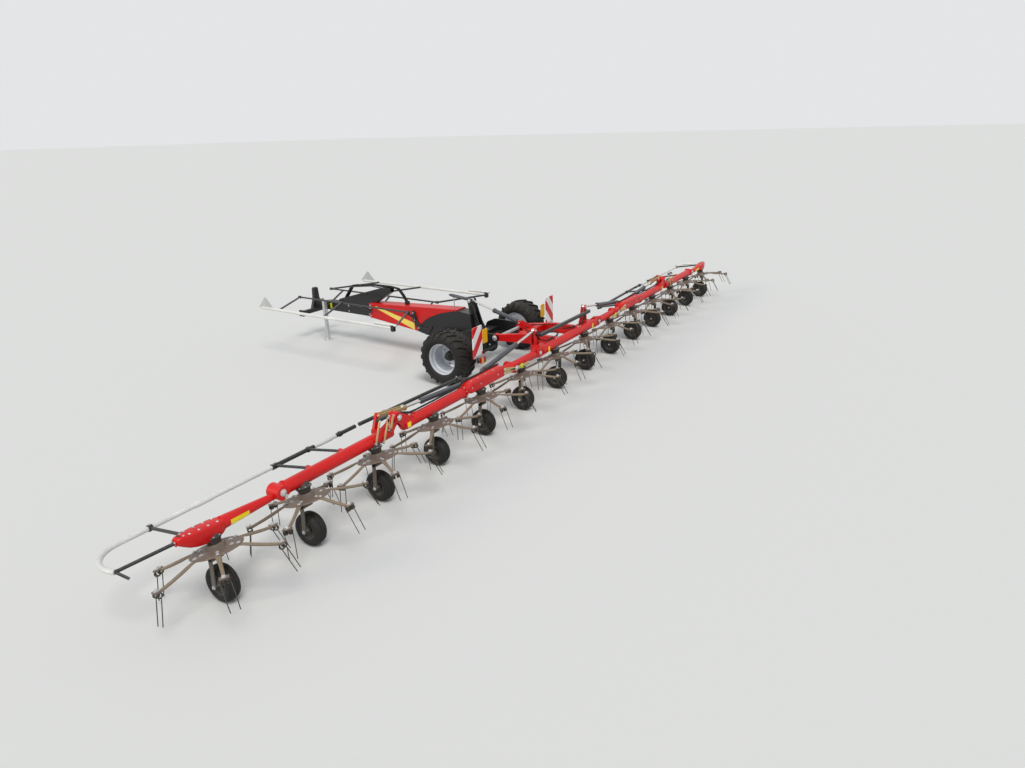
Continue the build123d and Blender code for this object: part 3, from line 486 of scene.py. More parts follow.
# %% A bag of points and faces
class Pieces:
    """Collects points, faces and finishes, and makes one object of them."""

    def __init__(self, sign=1):
        self.sign = sign
        self.points, self.faces, self.slots, self.finishes = [], [], [], []

    def add(self, points, faces, finish, place=None):
        if finish not in self.finishes:
            self.finishes.append(finish)
        slot = self.finishes.index(finish)
        start = len(self.points)
        if place is not None:
            points = [place @ Vector(p) for p in points]
        self.points.extend([(self.sign * p[0], p[1], p[2]) for p in points])
        self.faces.extend([tuple(i + start for i in face) for face in faces])
        self.slots.extend([slot] * len(faces))

    def bolt(self, size, centre, outward, height=None):
        """Adds a zinc bolt at a place, turned to an outward direction."""
        self.add(*hex_bolt(size, height), bright_zinc, facing(spot(*centre), outward))

    def cap(self, radius, height, centre, outward):
        """Adds a zinc pin cap at a place, turned to an outward direction."""
        self.add(*pin_cap(radius, height), bright_zinc, facing(spot(*centre), outward))

    def join(self, other):
        """Takes in all that another bag holds."""
        start = len(self.points)
        self.points += other.points
        self.faces += [tuple(i + start for i in face) for face in other.faces]
        self.finishes += [finish for finish in other.finishes if finish not in self.finishes]
        self.slots += [self.finishes.index(other.finishes[slot]) for slot in other.slots]

    def make(self, name, body, place=None, smooth_angle=35):
        mesh = bpy.data.meshes.new(name)
        mesh.from_pydata(self.points, [], self.faces)
        for finish in self.finishes:
            mesh.materials.append(finish)
        mesh.polygons.foreach_set("material_index", self.slots)
        cleaner = bmesh.new()
        cleaner.from_mesh(mesh)
        bmesh.ops.recalc_face_normals(cleaner, faces=cleaner.faces)
        cleaner.to_mesh(mesh)
        cleaner.free()
        mesh.shade_smooth()
        mesh.set_sharp_from_angle(angle=math.radians(smooth_angle))
        made = bpy.data.objects.new(name, mesh)
        bpy.context.scene.collection.objects.link(made)
        if place is not None:
            made.matrix_world = place
        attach(made, body)
        return made


# %% Turned forms
def turned(profile, steps=48, closed=True):
    """Points and faces of a profile of (radius, height) pairs turned about Z."""
    points, faces = [], []
    count = len(profile)
    for step in range(steps):
        angle = 2 * math.pi * step / steps
        for radius, height in profile:
            points.append((radius * math.cos(angle), radius * math.sin(angle), height))
    last = count if closed else count - 1
    for step in range(steps):
        after = (step + 1) % steps
        for i in range(last):
            j = (i + 1) % count
            faces.append((step * count + i, after * count + i, after * count + j, step * count + j))
    return points, faces


# %% Swept forms
def swept(path, outline_at):
    """Points and faces of outlines set along a path; outline_at gives the outline's (side, up) pairs at each step."""
    path = [Vector(p) for p in path]
    points, faces = [], []
    up = Vector((0, 0, 1))
    first = (path[1] - path[0]).normalized()
    if abs(first.dot(up)) > 0.95:
        up = Vector((0, 1, 0))
    side = first.cross(up).normalized()
    count = len(outline_at(0))
    for i, centre in enumerate(path):
        before = path[max(i - 1, 0)]
        after = path[min(i + 1, len(path) - 1)]
        way = (after - before).normalized()
        side = (side - way * side.dot(way)).normalized()
        lift = side.cross(way).normalized()
        for a, b in outline_at(i):
            points.append(centre + side * a + lift * b)
    for i in range(len(path) - 1):
        for k in range(count):
            m = (k + 1) % count
            faces.append((i * count + k, i * count + m, (i + 1) * count + m, (i + 1) * count + k))
    faces.append(tuple(range(count)))
    start = (len(path) - 1) * count
    faces.append(tuple(start + k for k in reversed(range(count))))
    return points, faces


def ring(radius, steps=12):
    """An outline of (side, up) pairs round a circle."""
    return [
        (radius * math.cos(2 * math.pi * k / steps), radius * math.sin(2 * math.pi * k / steps))
        for k in range(steps)
    ]


def bar(path, radius, steps=12):
    """A round bar or tube along a path."""
    return swept(path, lambda i: ring(radius, steps))


def bend(points, radius, steps=8):
    """A steel tube's line: straight runs with a round bend of one radius at each corner."""
    points = [Vector(p) for p in points]
    line = [points[0]]
    for before, corner, after in zip(points, points[1:], points[2:]):
        arrive = (corner - before).normalized()
        leave = (after - corner).normalized()
        angle = arrive.angle(leave)
        cut = radius * math.tan(angle / 2)
        start, end = corner - arrive * cut, corner + leave * cut
        for k in range(steps + 1):
            t = k / steps
            line.append(start * (1 - t) ** 2 + corner * 2 * t * (1 - t) + end * t ** 2)
    line.append(points[-1])
    return line


# %% [markdown]
# ## Bolts
#
# Hexagon heads with a washer hold almost everything together.
# One small form is enough: a round washer, a six-sided head and its slightly domed top.

# %% Hexagon bolt
def hex_bolt(size, height=None):
    """A washer and a hexagon head standing on Z = 0; size is the distance across the flats."""
    height = height or size * 0.6
    points, faces = [], []
    washer_radius, washer_top = size * 0.95, size * 0.14
    for z in (0.0, washer_top):
        for k in range(12):
            angle = 2 * math.pi * k / 12
            points.append((washer_radius * math.cos(angle), washer_radius * math.sin(angle), z))
    faces.append(tuple(range(12, 24)))
    for k in range(12):
        faces.append((k, (k + 1) % 12, 12 + (k + 1) % 12, 12 + k))
    corner = size / math.sqrt(3)
    for radius, z in ((corner, washer_top), (corner, height * 0.86), (corner * 0.86, height)):
        points.extend([(radius * math.cos(math.pi * k / 3), radius * math.sin(math.pi * k / 3), z) for k in range(6)])
    for level in (0, 1):
        base = 24 + level * 6
        for k in range(6):
            faces.append((base + k, base + (k + 1) % 6, base + 6 + (k + 1) % 6, base + 6 + k))
    faces.append(tuple(range(36, 42)))
    return points, faces


def facing(centre, outward):
    """A placement that turns +Z to an outward direction at a point."""
    turned_to = Vector(outward).to_track_quat("Z", "Y").to_matrix().to_4x4()
    turned_to.translation = Vector(centre)
    return turned_to


# %% [markdown]
# ## Plates, blocks and pins
#
# The frames are cut plates and bent tubes, welded together.
# A plate is an outline drawn across one axis, with its corners eased and the edges of both its faces taken off,
# because a real edge always catches a line of light. The second number of a place counts ahead from the boom line.

# %% Outlines
def eased(outline, ease):
    """The outline with each corner cut into a short bend."""
    corners = [Vector(p) for p in outline]
    result = []
    for k, corner in enumerate(corners):
        for neighbour in (corners[k - 1], corners[(k + 1) % len(corners)]):
            way = neighbour - corner
            result.append(tuple(corner + way * min(ease / way.length, 0.4)))
    return result


def inset(outline, distance):
    """The outline moved inwards by a distance, corner by corner."""
    count = len(outline)
    area = sum(outline[k - 1][0] * outline[k][1] - outline[k][0] * outline[k - 1][1] for k in range(count))
    turn = 1 if area > 0 else -1
    moved = []
    for k, corner in enumerate(outline):
        before = (Vector(corner) - Vector(outline[k - 1])).normalized()
        after = (Vector(outline[(k + 1) % count]) - Vector(corner)).normalized()
        inward = Vector((-before.y, before.x)) * turn
        middle = (inward + Vector((-after.y, after.x)) * turn).normalized()
        moved.append(tuple(Vector(corner) + middle * (distance / max(middle.dot(inward), 0.4))))
    return moved


def arc(centre, radius, start, end, steps=10):
    """Points of a round end about a centre, from one angle to another in degrees."""
    turns = [math.radians(start + (end - start) * k / steps) for k in range(steps + 1)]
    return [(centre[0] + radius * math.cos(t), centre[1] + radius * math.sin(t)) for t in turns]


def octagon(radius):
    """An eight-sided outline with flats on top and at the sides, its corners bent as a sheet bends."""
    corners = [math.radians(22.5 + 45 * k) for k in range(8)]
    return eased([(radius * math.cos(t), radius * math.sin(t)) for t in corners], radius * 0.13)


# %% Solids from outlines
def prism(outline, low, high, axis, edge=0.003):
    """A plate drawn across one axis, between two places along it, with its edges taken off."""
    inner = inset(outline, edge)
    count = len(outline)
    points, faces = [], []
    for shape, along in ((inner, low), (outline, low + edge), (outline, high - edge), (inner, high)):
        for a, b in shape:
            points.append({"x": spot(along, a, b), "y": spot(a, along, b), "z": spot(a, b, along)}[axis])
    for level in range(3):
        for k in range(count):
            m = (k + 1) % count
            faces.append((level * count + k, level * count + m, (level + 1) * count + m, (level + 1) * count + k))
    faces.append(tuple(range(count)))
    faces.append(tuple(range(3 * count, 4 * count)))
    return points, faces


def block(low, high, edge=0.003):
    """A box between its lowest and its highest corner."""
    outline = [(low[0], low[1]), (high[0], low[1]), (high[0], high[1]), (low[0], high[1])]
    return prism(eased(outline, edge), low[2], high[2], "z", edge)


def rod(start, end, radius, steps=20):
    """A round bar between two places."""
    return bar([spot(*start), spot(*end)], radius, steps)


def drum(start, end, radius, edge=0.002, steps=32):
    """A round pin, boss or eye between two places, with its ends' edges taken off."""
    start, end = spot(*start), spot(*end)
    length = (end - start).length
    profile = [(0, 0), (radius - edge, 0), (radius, edge), (radius, length - edge), (radius - edge, length),
               (0, length)]
    points, faces = turned(profile, steps)
    placed = facing(start, end - start)
    return [placed @ Vector(p) for p in points], faces


def tube_x(x_low, x_high, radius, z):
    """A straight length of the eight-sided boom tube."""
    return swept([spot(x_low, 0, z), spot(x_high, 0, z)], lambda i: octagon(radius))


def slab(length, width, thick, edge=0.002):
    """A small plate on Z = 0, centred on the origin."""
    a, b = length / 2, width / 2
    outline = eased([(-a, -b), (a, -b), (a, b), (-a, b)], min(a, b) * 0.2)
    count = len(outline)
    points = [(*p, 0) for p in outline] + [(*p, thick - edge) for p in outline] + [(*p,
        thick) for p in inset(outline, edge)]
    faces = [tuple(range(2 * count, 3 * count))]
    for level in (0, count):
        faces += [(level + k, level + (k + 1) % count, level + count + (k + 1) % count,
                   level + count + k) for k in range(count)]
    return points, faces


def pin_cap(radius, height):
    """A stepped cap with a nut on it, standing on Z = 0."""
    profile = [
        (0.0, 0.0), (radius, 0.0), (radius, height * 0.35), (radius * 0.93, height * 0.45), (radius * 0.62,
            height * 0.5),
        (radius * 0.6, height * 0.9), (radius * 0.5, height), (0.0, height),
    ]
    return turned(profile, 28)


def pair(form, name, body):
    """Makes the right-hand piece and its mirror image on the left, each in place of its solid."""
    for side, sign in sides:
        bag = Pieces(sign)
        form(bag)
        made = bag.make(f"dressed_{name}_{side}", body if body == "chassis" else f"{body}_{side}")
        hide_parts(f"{name}_{side}")


backwards, forwards, upwards = (0, -1, 0), (0, 1, 0), (0, 0, 1)


# %% [markdown]
# ## Carrier tyres
#
# The carrier runs on wide low-pressure tyres with open shoulder lugs.
# The body is a turned profile, and two rows of slanting lugs stand on it, the second row half a step behind the first.
# The lugs follow the crown, so each is a bent block of eight corners.

# %% Tyre with lugs
def tyre_form(radius, width, rim, lug_count, lug_height):
    """A tyre about Z: body, side ribs and two rows of lugs."""
    made = Pieces()
    half = width / 2
    crown = radius - lug_height
    body = [
        (rim, -half + 0.055), (rim + 0.012, -half + 0.032), (rim + 0.05, -half + 0.012),
        (rim + 0.11, -half), (crown - 0.075, -half + 0.006), (crown - 0.03, -half + 0.03),
        (crown - 0.008, -half + 0.075), (crown, -half + 0.15), (crown, half - 0.15),
        (crown - 0.008, half - 0.075), (crown - 0.03, half - 0.03), (crown - 0.075, half - 0.006),
        (rim + 0.11, half), (rim + 0.05, half - 0.012), (rim + 0.012, half - 0.032), (rim, half - 0.055),
    ]
    made.add(*turned(body, 72), tyre_rubber)
    for lug in range(lug_count * 2):
        sign = 1 if lug % 2 else -1
        middle = 2 * math.pi * lug / (lug_count * 2)
        stations = [(0.012, 0.0, 0.030), (0.10, 0.045, 0.032), (half - 0.05, 0.095, 0.040),
                    (half - 0.004, 0.105, 0.044)]
        points, faces = [], []
        for away, lead, thick in stations:
            drop = 0.0 if away < half - 0.08 else (0.012 if away < half - 0.02 else 0.062)
            top = radius - drop
            low = crown - 0.012 - drop * 1.1
            for lift in (low, top):
                for edge in (-thick / 2, thick / 2):
                    angle = middle + (lead + edge) / radius
                    points.append((lift * math.cos(angle), lift * math.sin(angle), sign * away))
        for i in range(len(stations) - 1):
            a, b = i * 4, i * 4 + 4
            faces += [(a + 2, a + 3, b + 3, b + 2), (a, b, b + 2, a + 2), (a + 1, a + 3, b + 3, b + 1),
                      (a, a + 1, b + 1, b)]
        faces += [(0, 1, 3, 2), (12, 14, 15, 13)]
        made.add(points, faces, tyre_rubber)
    for rib in (-1, 1):
        z = rib * (half - 0.002)
        made.add(*turned([(rim + 0.06, z), (rim + 0.075, z + rib * 0.004), (rim + 0.09, z)], 72, closed=False),
                 tyre_rubber)
    return made


rim_radius = (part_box("rim_right")[1].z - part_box("rim_right")[0].z) / 2
tyre_low, tyre_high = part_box("tyre_right")
tyre_radius, tyre_width = (tyre_high.z - tyre_low.z) / 2, tyre_high.x - tyre_low.x
for side, sign in sides:
    form = tyre_form(tyre_radius, tyre_width, rim_radius, 20, 0.026)
    wheel_place = facing((sign * axle.x, axle.y, axle.z), (sign, 0, 0))
    carrier_tyre = form.make(f"carrier_tyre_{side}", f"wheel_{side}", wheel_place)
    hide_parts(f"tyre_{side}")
print("tyre", round(tyre_radius, 3), "x", round(tyre_width, 3), "m")

# %% [markdown]
# ## Carrier rims
#
# The silver rim is deep: its well steps down inside the tyre, and the disc sits near the inner side,
# so the hub lies far back in the wheel. One turned profile with rounded beads makes the well and the disc.
# The hand holes are thin black discs laid on the disc: painted shade where the openings would be. A ring of nuts and a
# black hub are separate forms in the same mesh.

# %% Deep rims, nuts and hubs
def rim_form():
    """A deep rim about Z, with +Z to the outside."""
    made = Pieces()
    half = 0.2
    profile = [
        (rim_radius, half), (rim_radius, half - 0.012), (rim_radius - 0.012, half - 0.02), (rim_radius - 0.018,
            half - 0.05),
        (rim_radius - 0.022, half - 0.085), (rim_radius - 0.044, half - 0.105), (rim_radius - 0.048, -0.02),
        (rim_radius - 0.052, -0.10), (rim_radius - 0.062, -0.118), (0.200, -0.128), (0.172, -0.120), (0.150, -0.106),
        (0.120, -0.104), (0.098, -0.106), (0.098, -0.120), (0.120, -0.120), (0.172, -0.136), (0.200, -0.142),
        (rim_radius - 0.040, -0.140), (rim_radius - 0.030, -0.160), (rim_radius - 0.012, -half + 0.012),
        (rim_radius, -half), (rim_radius + 0.004, -half), (rim_radius + 0.002, -half + 0.02), (rim_radius - 0.01,
            -0.1),
        (rim_radius - 0.036, -0.06), (rim_radius - 0.036, half - 0.11), (rim_radius - 0.010, half - 0.08),
        (rim_radius + 0.002, half - 0.02), (rim_radius + 0.004, half),
    ]
    made.add(*turned(profile, 72), rim_silver)
    hub = [
        (0.0, 0.06), (0.040, 0.058), (0.052, 0.048), (0.054, 0.010), (0.070, 0.004), (0.088, -0.02), (0.094, -0.06),
        (0.100, -0.100), (0.100, -0.118), (0.0, -0.118),
    ]
    made.add(*turned(hub, 40), black_paint)
    for nut in range(10):
        angle = 2 * math.pi * nut / 10
        made.add(*hex_bolt(0.024), bright_zinc, Matrix.Translation((0.112 * math.cos(angle),
            0.112 * math.sin(angle), -0.105)))
    # Painted shade: each hand hole is a thin black disc on the rim's disc, not an opening.
    for hole in range(8):
        angle = 2 * math.pi * (hole + 0.5) / 8
        painted_hole_shade = [(0.019, 0.0), (0.019, 0.002), (0.0, 0.002), (0.0, 0.0)]
        made.add(*turned(painted_hole_shade, 20), black_paint, Matrix.Translation((0.187 * math.cos(angle),
            0.187 * math.sin(angle), -0.1255)))
    return made


for side, sign in sides:
    silver_rim = rim_form().make(f"deep_rim_{side}", f"wheel_{side}",
                                 facing((sign * axle.x, axle.y, axle.z), (sign, 0, 0)))
    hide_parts(f"rim_{side}")
print("rims", round(rim_radius * 2, 3), "m across")


# %% [markdown]
# ## Gauge wheels
#
# A small wheel under each rotor carries it over the ground.
# It is a turned tyre with three ribs on a pressed rim with a plain hub.
# The wheels of one boom section turn together here, so they are joined as one mesh.

# %% Gauge wheels
def gauge_wheel_form(made, centre):
    """One small wheel about X, added to a bag."""
    about_x = facing(centre, (1, 0, 0))
    tyre = [
        (0.105, -0.062), (0.12, -0.072), (0.15, -0.079), (0.175, -0.074), (0.19, -0.058), (0.197, -0.038),
        (0.1985, -0.022), (0.193, -0.018), (0.193, -0.014), (0.2, -0.01), (0.2, 0.01), (0.193, 0.014),
        (0.193, 0.018), (0.1985, 0.022), (0.197, 0.038), (0.19, 0.058), (0.175, 0.074), (0.15, 0.079),
        (0.12, 0.072), (0.105, 0.062),
    ]
    made.add(*turned(tyre, 40), tyre_rubber, about_x)
    rim = [
        (0.016, -0.045), (0.04, -0.045), (0.042, -0.02), (0.07, -0.012), (0.088, -0.03), (0.1, -0.062), (0.112,
            -0.066),
        (0.104, -0.05), (0.1, -0.02), (0.1, 0.02), (0.104, 0.05), (0.112, 0.066), (0.1, 0.062), (0.088, 0.03),
        (0.07, 0.0), (0.042, 0.004), (0.04, 0.045), (0.016, 0.045),
    ]
    made.add(*turned(rim, 32), wheel_grey, about_x)


for node_name in [name for name in frame["nodes"] if name.startswith("gauge_wheels")]:
    low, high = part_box(node_name)
    spacing = joints["rotor_spin_08"]["pos_m"][0] * 2
    count = round((high.x - low.x) / spacing) + 1
    wheels = Pieces()
    for k in range(count):
        gauge_wheel_form(wheels, (low.x + 0.08 + k * spacing, (low.y + high.y) / 2, gauge_radius))
    body = "gauge_" + node_name.replace("gauge_wheels_", "")
    dressed = wheels.make(f"dressed_{node_name}", body)
    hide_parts(node_name)
print("gauge wheels", spacing, "m apart")


# %% [markdown]
# ## Rotors
#
# A rotor is a pressed plate with six arms bolted under it, and each arm carries a pair of spring tines.
# The arm starts as a flattened tube under the plate and becomes round towards its end.
# The tines are one wire each: three and a half coils under the arm's end, then a long leg down to the crop.
# All parts of a rotor turn together, so they share one mesh with a finish for each material.

# %% Rotor form
def rotor_form():
    """A rotor about Z, with its plate at Z = 0."""
    made = Pieces()
    plate = [
        (0.032, -0.005), (0.2, -0.005), (0.225, -0.008), (0.25, -0.012), (0.262, -0.014), (0.264, -0.008),
        (0.255, -0.002), (0.225, 0.003), (0.2, 0.006), (0.1, 0.007), (0.096, 0.03), (0.09, 0.052), (0.07, 0.055),
        (0.034, 0.055), (0.032, 0.05),
    ]
    made.add(*turned(plate, 60), rotor_paint)
    for arm in range(6):
        spin = Matrix.Rotation(math.pi * arm / 3, 4, "Z")
        stations = [
            # distance out, drop, half-width, half-height
            (0.13, 0.016, 0.030, 0.008), (0.20, 0.016, 0.031, 0.008), (0.255, 0.017, 0.031, 0.009),
            (0.285, 0.022, 0.029, 0.011), (0.33, 0.034, 0.024, 0.015), (0.39, 0.050, 0.019, 0.018),
            (0.50, 0.076, 0.0175, 0.0175), (0.62, 0.099, 0.0165, 0.0165), (0.655, 0.104, 0.0165, 0.0165),
        ]
        path = [(x, 0, -drop) for x, drop, _, _ in stations]

        def arm_outline(i):
            _, _, half_width, half_height = stations[i]
            return [
                (half_width * math.cos(2 * math.pi * k / 14), half_height * math.sin(2 * math.pi * k / 14))
                for k in range(14)
            ]

        made.add(*swept(path, arm_outline), arm_paint, spin)
        for out in (0.165, 0.235):
            made.add(*hex_bolt(0.024, 0.013), bright_zinc, spin @ Matrix.Translation((out, 0, 0.004)))
        saddle = [(0.632, -0.046, -0.082), (0.690, -0.046, -0.082), (0.690, 0.046, -0.082), (0.632, 0.046, -0.082)]
        lower = [(x, y, -0.098) for x, y, _ in saddle]
        cap_faces = [(0, 1, 2, 3), (7, 6, 5, 4), (0, 4, 5, 1), (1, 5, 6, 2), (2, 6, 7, 3), (3, 7, 4, 0)]
        made.add(saddle + lower, cap_faces, rotor_paint, spin)
        made.add(*hex_bolt(0.030, 0.022), bright_zinc, spin @ Matrix.Translation((0.661, 0, -0.083)))
        for side in (-1, 1):
            wire = []
            coils, start = 3.5, 0.012
            coil_radius, wire_radius = 0.026, 0.0048
            steps = 42
            for k in range(steps + 1):
                angle = math.pi / 2 - 2 * math.pi * coils * k / steps
                along = start + 0.034 * k / steps
                wire.append((0.661 + coil_radius * math.cos(angle), side * along,
                             -0.124 + coil_radius * math.sin(angle)))
            wire.append((0.668, side * 0.047, -0.165))
            wire.append((0.690, side * 0.047, -0.240))
            wire.append((0.714, side * 0.046, -0.320))
            wire.append((0.738, side * 0.044, -0.400))
            made.add(*swept(wire, lambda i: ring(wire_radius, 6)), tine_steel, spin)
    return made


rotor_mesh = None
for number, centre in sorted(rotor_places.items()):
    phase = Matrix.Rotation(0 if int(number) % 2 else math.pi / 6, 4, "Z")
    rotor_place = Matrix.Translation(centre) @ lean_turn @ phase
    if rotor_mesh is None:
        dressed = rotor_form().make(f"dressed_rotor_{number}", f"rotor_{number}", rotor_place)
        rotor_mesh = dressed.data
    else:
        dressed = bpy.data.objects.new(f"dressed_rotor_{number}", rotor_mesh)
        bpy.context.scene.collection.objects.link(dressed)
        dressed.matrix_world = rotor_place
        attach(dressed, f"rotor_{number}")
    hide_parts(f"rotor_{number}")
print("rotor mesh has", len(rotor_mesh.polygons), "faces")

# %% [markdown]
# ## Gearboxes and legs
#
# Under the boom tube hangs a cast gearbox on each rotor's leaning axis, held by a flange with eight bolts.
# Its spindle goes down through the rotor and carries a cross bar with the gauge wheel's leg on one side.
# The casting is one turned profile with ribs, and the leg is a cut plate.

# %% One gearbox, its spindle and its leg
disc_ahead = rotor_places["07"].y - boom_y
wheel_behind = -0.06
centre_rotor, wing_rotors, outer_rotors = 0.58, (1.74, 2.90, 4.06), (5.22, 6.38, 7.54)


def gearbox_form(bag, x):
    """Casting, bolts, spindle and leg of the rotor at an X value."""
    on_axis = Matrix.Translation(spot(x, disc_ahead, disc_height)) @ lean_turn
    casting = [
        (0, 0.056), (0.058, 0.056), (0.064, 0.060), (0.070, 0.068), (0.072, 0.100), (0.076, 0.112), (0.092, 0.114),
        (0.094, 0.117), (0.094, 0.127), (0.092, 0.130), (0.079, 0.131), (0.076, 0.140), (0.066, 0.200), (0, 0.200),
    ]
    bag.add(*turned(casting, 40), dark_cast_paint, on_axis)
    for k in range(8):
        angle = 2 * math.pi * (k + 0.5) / 8
        away = Matrix.Rotation(angle, 4, "Z")
        bag.add(*hex_bolt(0.012), bright_zinc, on_axis @ away @ Matrix.Translation((0.0855, 0, 0.130)))
        rib = [(0.060, -0.004, 0.066), (0.088, -0.004, 0.1135), (0.060, -0.004, 0.1135),
               (0.060, 0.004, 0.066), (0.088, 0.004, 0.1135), (0.060, 0.004, 0.1135)]
        rib_faces = [(0, 1, 2), (3, 5, 4), (0, 3, 4, 1), (1, 4, 5, 2), (2, 5, 3, 0)]
        bag.add(rib, rib_faces, dark_cast_paint, on_axis @ away)
    bag.add(*turned([(0, -0.086), (0.026, -0.086), (0.030, -0.082), (0.030, 0.058), (0, 0.058)], 28), leg_paint,
            on_axis)
    foot_ahead, foot_z = disc_ahead - 0.0194, 0.5276
    bag.add(*block((x - 0.034, foot_ahead - 0.030, foot_z - 0.022),
                   (x + 0.108, foot_ahead + 0.030, foot_z + 0.006)), leg_paint)
    leg = [(foot_ahead - 0.030, foot_z + 0.006), (foot_ahead - 0.027, 0.40), (wheel_behind - 0.030, gauge_radius)]
    leg += arc((wheel_behind, gauge_radius), 0.030, 180, 360, 8)[1:]
    leg += [(foot_ahead + 0.030, 0.40), (foot_ahead + 0.030, foot_z + 0.006)]
    bag.add(*prism(leg, x + 0.094, x + 0.108, "x"), leg_paint)
    bag.add(*drum((x - 0.084, wheel_behind, gauge_radius), (x + 0.112, wheel_behind, gauge_radius), 0.013),
            bright_zinc)
    bag.bolt(0.024, (x + 0.108, wheel_behind, gauge_radius), (1, 0, 0))


print("leg length", round(disc_height - gauge_radius, 2), "m")

# %% [markdown]
# ## Centre beam
#
# The middle of the boom is an eight-sided tube with two gearboxes, a clevis for each wing,
# and tall pointed plates that hold the wing cylinders. A black cross tube stands behind the plates.
# The carrier's two arms meet it at thick pads.

# %% Centre beam
def clevis_ears(bag, root_x, hinge_x, hinge_z, radius, low_z, high_z):
    """Two round-ended ears on each side of a tongue, and the pin through them."""
    shape = [(root_x, low_z)] + arc((hinge_x, hinge_z), radius, -90, 90, 16) + [(root_x, high_z)]
    for near, far in ((0.033, 0.059), (-0.059, -0.033)):
        bag.add(*prism(shape, near, far, "y"), red_paint)
    bag.add(*drum((hinge_x, -0.074, hinge_z), (hinge_x, 0.074, hinge_z), 0.024), bright_zinc)
    bag.cap(0.036, 0.020, (hinge_x, -0.074, hinge_z), backwards)
    bag.cap(0.036, 0.020, (hinge_x, 0.074, hinge_z), forwards)


centre = Pieces()
centre.add(*tube_x(-1.04, 1.04, tube_radius, beam_z), red_paint)
for sign in (-1, 1):
    half = Pieces(sign)
    clevis_ears(half, 0.90, wing_hinge_x, wing_hinge_z, 0.085, 0.745, 0.872)
    lug_plate = eased([(1.02, 0.76), (0.80, 0.76), (0.922, 1.168), (0.998, 1.168)], 0.012)
    for near in (0.131, 0.195):
        half.add(*prism(lug_plate, near, near + 0.014, "y"), red_paint)
    half.add(*block((0.81, 0.0, 0.76), (1.01, 0.209, 0.88), 0.006), red_paint)
    half.add(*block((0.368, 0.0, 0.713), (0.472, 0.092, 0.897), 0.006), red_paint)
    half.add(*drum((0.96, 0.121, 1.13), (0.96, 0.219, 1.13), 0.016), bright_zinc)
    half.cap(0.026, 0.012, (0.96, 0.131, 1.13), backwards)
    half.cap(0.026, 0.012, (0.96, 0.209, 1.13), forwards)
    for x in (0.384, 0.456):
        for z in (0.735, 0.875):
            half.bolt(0.022, (x, 0.0005, z), backwards)
    for x in (0.78, 0.98):
        half.bolt(0.018, (x, 0.209, 0.80), forwards)
    half.add(*slab(0.055, 0.09, 0.0015, 0.0004), yellow_label, facing(spot(0.86, -0.0741, 0.806), backwards))
    for step in (0, 1):
        line = [spot(x, y + 0.02 * step, z) for x, y,
                z in ((0.10, 0.16, 0.90), (0.30, 0.06, 0.892), (0.70, 0.05, 0.892),
                                                          (0.86, 0.10, 0.95), (0.93, 0.125, 1.04))]
        half.add(*bar(bend(line, 0.06, 6), thin_hose, 8), hose_rubber)
    gearbox_form(centre, sign * centre_rotor)
    centre.join(half)
# The cross tube stands behind the lugs, so that the folded guards pass in front of it
centre.add(*block((-0.955, 0.020, 1.032), (0.955, 0.076, 1.088), 0.006), black_paint)
for x in (-0.94, 0.94):
    centre.add(*block((x - 0.015, 0.060, 1.036), (x + 0.015, 0.140, 1.084), 0.004), black_paint)
made = centre.make("dressed_centre_beam", "carrier")
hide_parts("centre_beam")
print("centre beam", len(centre.faces), "faces")

# %% [markdown]
# ## Carrier frame
#
# Two arms deepen from the lift hinge back to the centre beam, with a cross tube between them.
# The lift cylinder pushes on a pair of lugs in the middle of the cross tube.

# %% Carrier frame
frame_bag = Pieces()
arm_shape = eased([(1.3, 0.657), (0.5923, 0.705), (0.0923, 0.713), (0.0923, 0.897), (0.5123, 0.897), (1.21, 0.795),
                   (1.3, 0.783)], 0.02)
pin_lug = eased([(0.71, 0.745), (0.85, 0.745), (1.078, 0.902), (1.078, 0.978), (1.002, 0.978), (0.71, 0.865)], 0.012)
for sign in (-1, 1):
    middle = sign * 0.42
    frame_bag.add(*prism(arm_shape, middle - 0.04, middle + 0.04, "x", 0.006), red_paint)
    frame_bag.add(*drum((middle - 0.04, lift_ahead, lift_z), (middle + 0.04, lift_ahead, lift_z), 0.075, 0.004),
                  red_paint)
    low = sign * 0.032 - 0.007
    frame_bag.add(*prism(pin_lug, low, low + 0.014, "x"), red_paint)
    for z in (0.735, 0.875):
        for away in (-0.028, 0.028):
            frame_bag.bolt(0.020, (middle + away, 0.13, z), (0, 0, 1 if z > 0.8 else -1))
frame_bag.add(*block((-0.38, 0.71, 0.745), (0.38, 0.85, 0.865), 0.006), red_paint)
frame_bag.add(*drum((-0.049, 1.04, 0.94), (0.049, 1.04, 0.94), 0.016), bright_zinc)
for sign in (-1, 1):
    line = [spot(sign * x, y, z) for x, y, z in ((0.05, 0.86, 0.885), (0.20, 0.80, 0.878), (0.30, 0.60, 0.885),
                                                 (0.30, 0.35, 0.905),
                                               (0.20, 0.20, 0.905), (0.10, 0.16, 0.90))]
    frame_bag.add(*bar(bend(line, 0.06, 6), thin_hose, 8), hose_rubber)
made = frame_bag.make("dressed_carrier_frame", "carrier")
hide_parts("carrier_frame")
print("carrier frame", len(frame_bag.faces), "faces")

# %% [markdown]
# ## Wing booms
#
# From the hinge outwards a wing has a thinner tube, a float joint behind a three-armed plate,
# a long moulded housing over its second gearbox, and the full tube to the fold hinge's ears.
# Pins at the front hold the two cylinders, and short lugs carry the guard's arms.

# %% Wing booms
def strap_xz(start, end, half_width, eye_radius):
    """The outline of a flat bar with round ends, in x and z."""
    turn = math.degrees(math.atan2(end[1] - start[1], end[0] - start[0]))
    return arc(end, eye_radius, turn - 90, turn + 90, 8) + arc(
        start, half_width, turn + 90, turn + 270, 8)


